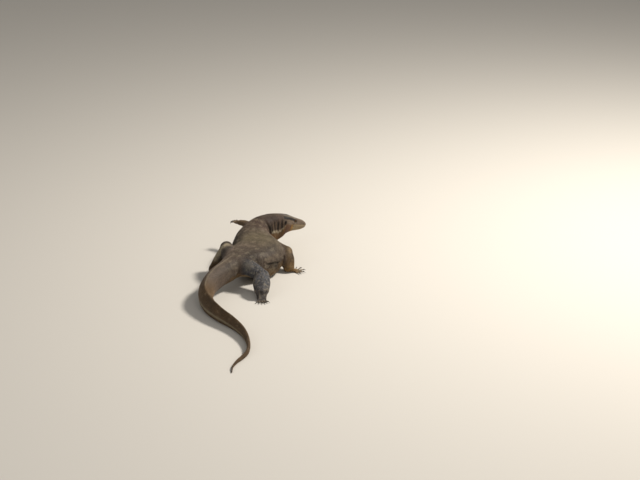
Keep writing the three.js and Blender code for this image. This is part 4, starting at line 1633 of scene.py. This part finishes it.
def closed_mesh(name, rings, ends=None):
    """A closed mesh of rings with its faces outward, and its points."""
    points, triangles, quads = ring_mesh(rings)
    if ends is not None:
        points[-2:] = ends
    mesh = make_mesh(name, points, triangles.tolist() + quads.tolist())
    bm = bmesh.new()
    bm.from_mesh(mesh)
    bmesh.ops.recalc_face_normals(bm, faces=bm.faces)
    bm.to_mesh(mesh)
    bm.free()
    return mesh, points


def make_eye(side, word, material):
    """An eyeball of rings round its line of sight, with a slightly raised cornea."""
    gaze = GAZE * (1, side, 1)
    centre = np.array(EYE_CENTRE) * (1, side, 1)
    ahead, above = eye_axes(gaze)
    off = np.radians(np.concatenate([np.linspace(1.5, 60, 28), np.linspace(66, 178, 16)]))
    turn = turns(40)[:, None]
    radius = (EYE_RADIUS - 0.1) + 0.45 * (1 - ease(np.degrees(off), 22, 44))
    reach = off[:, None, None]
    ring = np.cos(reach) * gaze + np.sin(reach) * (np.cos(turn) * ahead + np.sin(turn) * above)
    ring = centre + radius[:, None, None] * ring
    ends = (centre + gaze * radius[0], centre - gaze * radius[-1])
    mesh, points = closed_mesh(f"eyeball_{word}", from_head(ring), from_head(ends))
    straight = unit(to_head(points) - centre) @ gaze
    angles = np.degrees(np.arccos(np.clip(straight, -1, 1)))
    set_vectors(mesh, "iris", angles, 0 * angles, 0 * angles)
    add_piece(mesh, material, [f"eye_{word}"])


CLAW_LENGTH, CLAW_THICK, CLAW_CURL = 11, 2.5, 0.9


def make_claw(node, root, out, droop, material):
    """A hooked claw from inside the toe's tip, ridged along its back."""
    turn = turns(14)
    rise = np.sin(turn)
    right = unit(np.cross((0, 0, 1), out))
    rings, shares = [], np.linspace(-0.22, 1, 16)
    for t in shares:
        bend = droop + CLAW_CURL * t
        along = out * math.cos(bend) - np.array((0, 0, 1)) * math.sin(bend)
        top = np.cross(along, right)
        size = CLAW_THICK * (1 - 0.86 * max(t, 0) ** 1.3) * (1 + 0.3 * min(t, 0))
        high = size * np.where(rise > 0, 1, 0.8) * rise
        wide = size * 0.72 * np.cos(turn) * (1 - 0.25 * np.maximum(0, rise))
        rings.append(root + along * CLAW_LENGTH * t + right * wide[:, None] + top * high[:, None])
    mesh, points = closed_mesh(node.replace("claw", "talon"), np.array(rings))
    share = np.clip(np.concatenate([np.repeat(shares, len(turn)), shares[[0, -1]]]), 0, 1)
    set_vectors(mesh, "horn", share, 0 * share, 0 * share)
    add_piece(mesh, material, [node])


def make_claws():
    material = claw_material()
    for name, leg in LEGS.items():
        for i, (line, out) in enumerate(toe_lines(leg)):
            root = line[3] + out * (leg["toe_thick"] * 0.72 + 0.35)
            make_claw(f"claw_{name}_{i + 1}", root, out, leg["claw_droop"], material)


# ------------------------------------------------------------------ camera, floor, lights

CAMERA_PLACE = (0.2644, -6.3305, 2.5026)
CAMERA_PITCH = math.radians(70.5)
CAMERA_LENS = 98.44
FLOOR_REACH = 40


def make_camera():
    camera = link("camera", bpy.data.cameras.new("camera"))
    camera.location = CAMERA_PLACE
    camera.rotation_euler = (CAMERA_PITCH, 0, 0)
    camera.data.lens = CAMERA_LENS
    camera.data.sensor_width = 36
    camera.data.clip_end = 100
    bpy.context.scene.camera = camera


def make_stage():
    mesh = bpy.data.meshes.new("floor")
    corners = [(x * FLOOR_REACH, y * FLOOR_REACH, 0) for x, y in ((-1, -1), (1, -1), (1, 1), (-1, 1))]
    mesh.from_pydata(corners, [], [(0, 1, 2, 3)])
    mesh.materials.append(Graph("floor", Roughness=0.9).finish((0.58, 0.55, 0.5, 1)))
    link("floor", mesh)


def area_light(name, place, size, power, colour):
    light = bpy.data.lights.new(name, "AREA")
    light.shape, light.size, light.energy, light.color = "DISK", size, power, colour
    lamp = link(name, light)
    lamp.location = place
    lamp.rotation_euler = (-Vector(place)).to_track_quat("-Z", "Y").to_euler()


def make_lights():
    area_light("key", (2.8, 1.0, 3.4), 0.8, 260, (1.0, 0.95, 0.88))
    area_light("fill", (-3.2, -3.0, 3.0), 3.0, 22, (0.95, 0.97, 1.0))
    area_light("front", (1.5, -5.0, 2.2), 2.5, 60, (1.0, 0.97, 0.93))
    world = bpy.data.worlds.new("world")
    world.use_nodes = True
    background = world.node_tree.nodes["Background"].inputs
    background["Color"].default_value = (0.9, 0.88, 0.85, 1)
    background["Strength"].default_value = 0.33
    bpy.context.scene.world = world
    bpy.context.scene.view_settings.view_transform = "Standard"


# ------------------------------------------------------------------ the whole scene

make_camera()
make_stage()
make_lights()
generator = np.random.default_rng(SEED)
skin = Skin()
spots = np.concatenate([head_spots(skin, generator), row_spots(skin)])
spots = spots[~bare(mirrored(spots[:, :3]))]
spots = fill_gaps(skin, spots, generator)
build_scales(skin, spots, generator)
eyes = eye_material()
for side, word in ((1, "left"), (-1, "right")):
    make_eye(side, word, eyes)
make_claws()
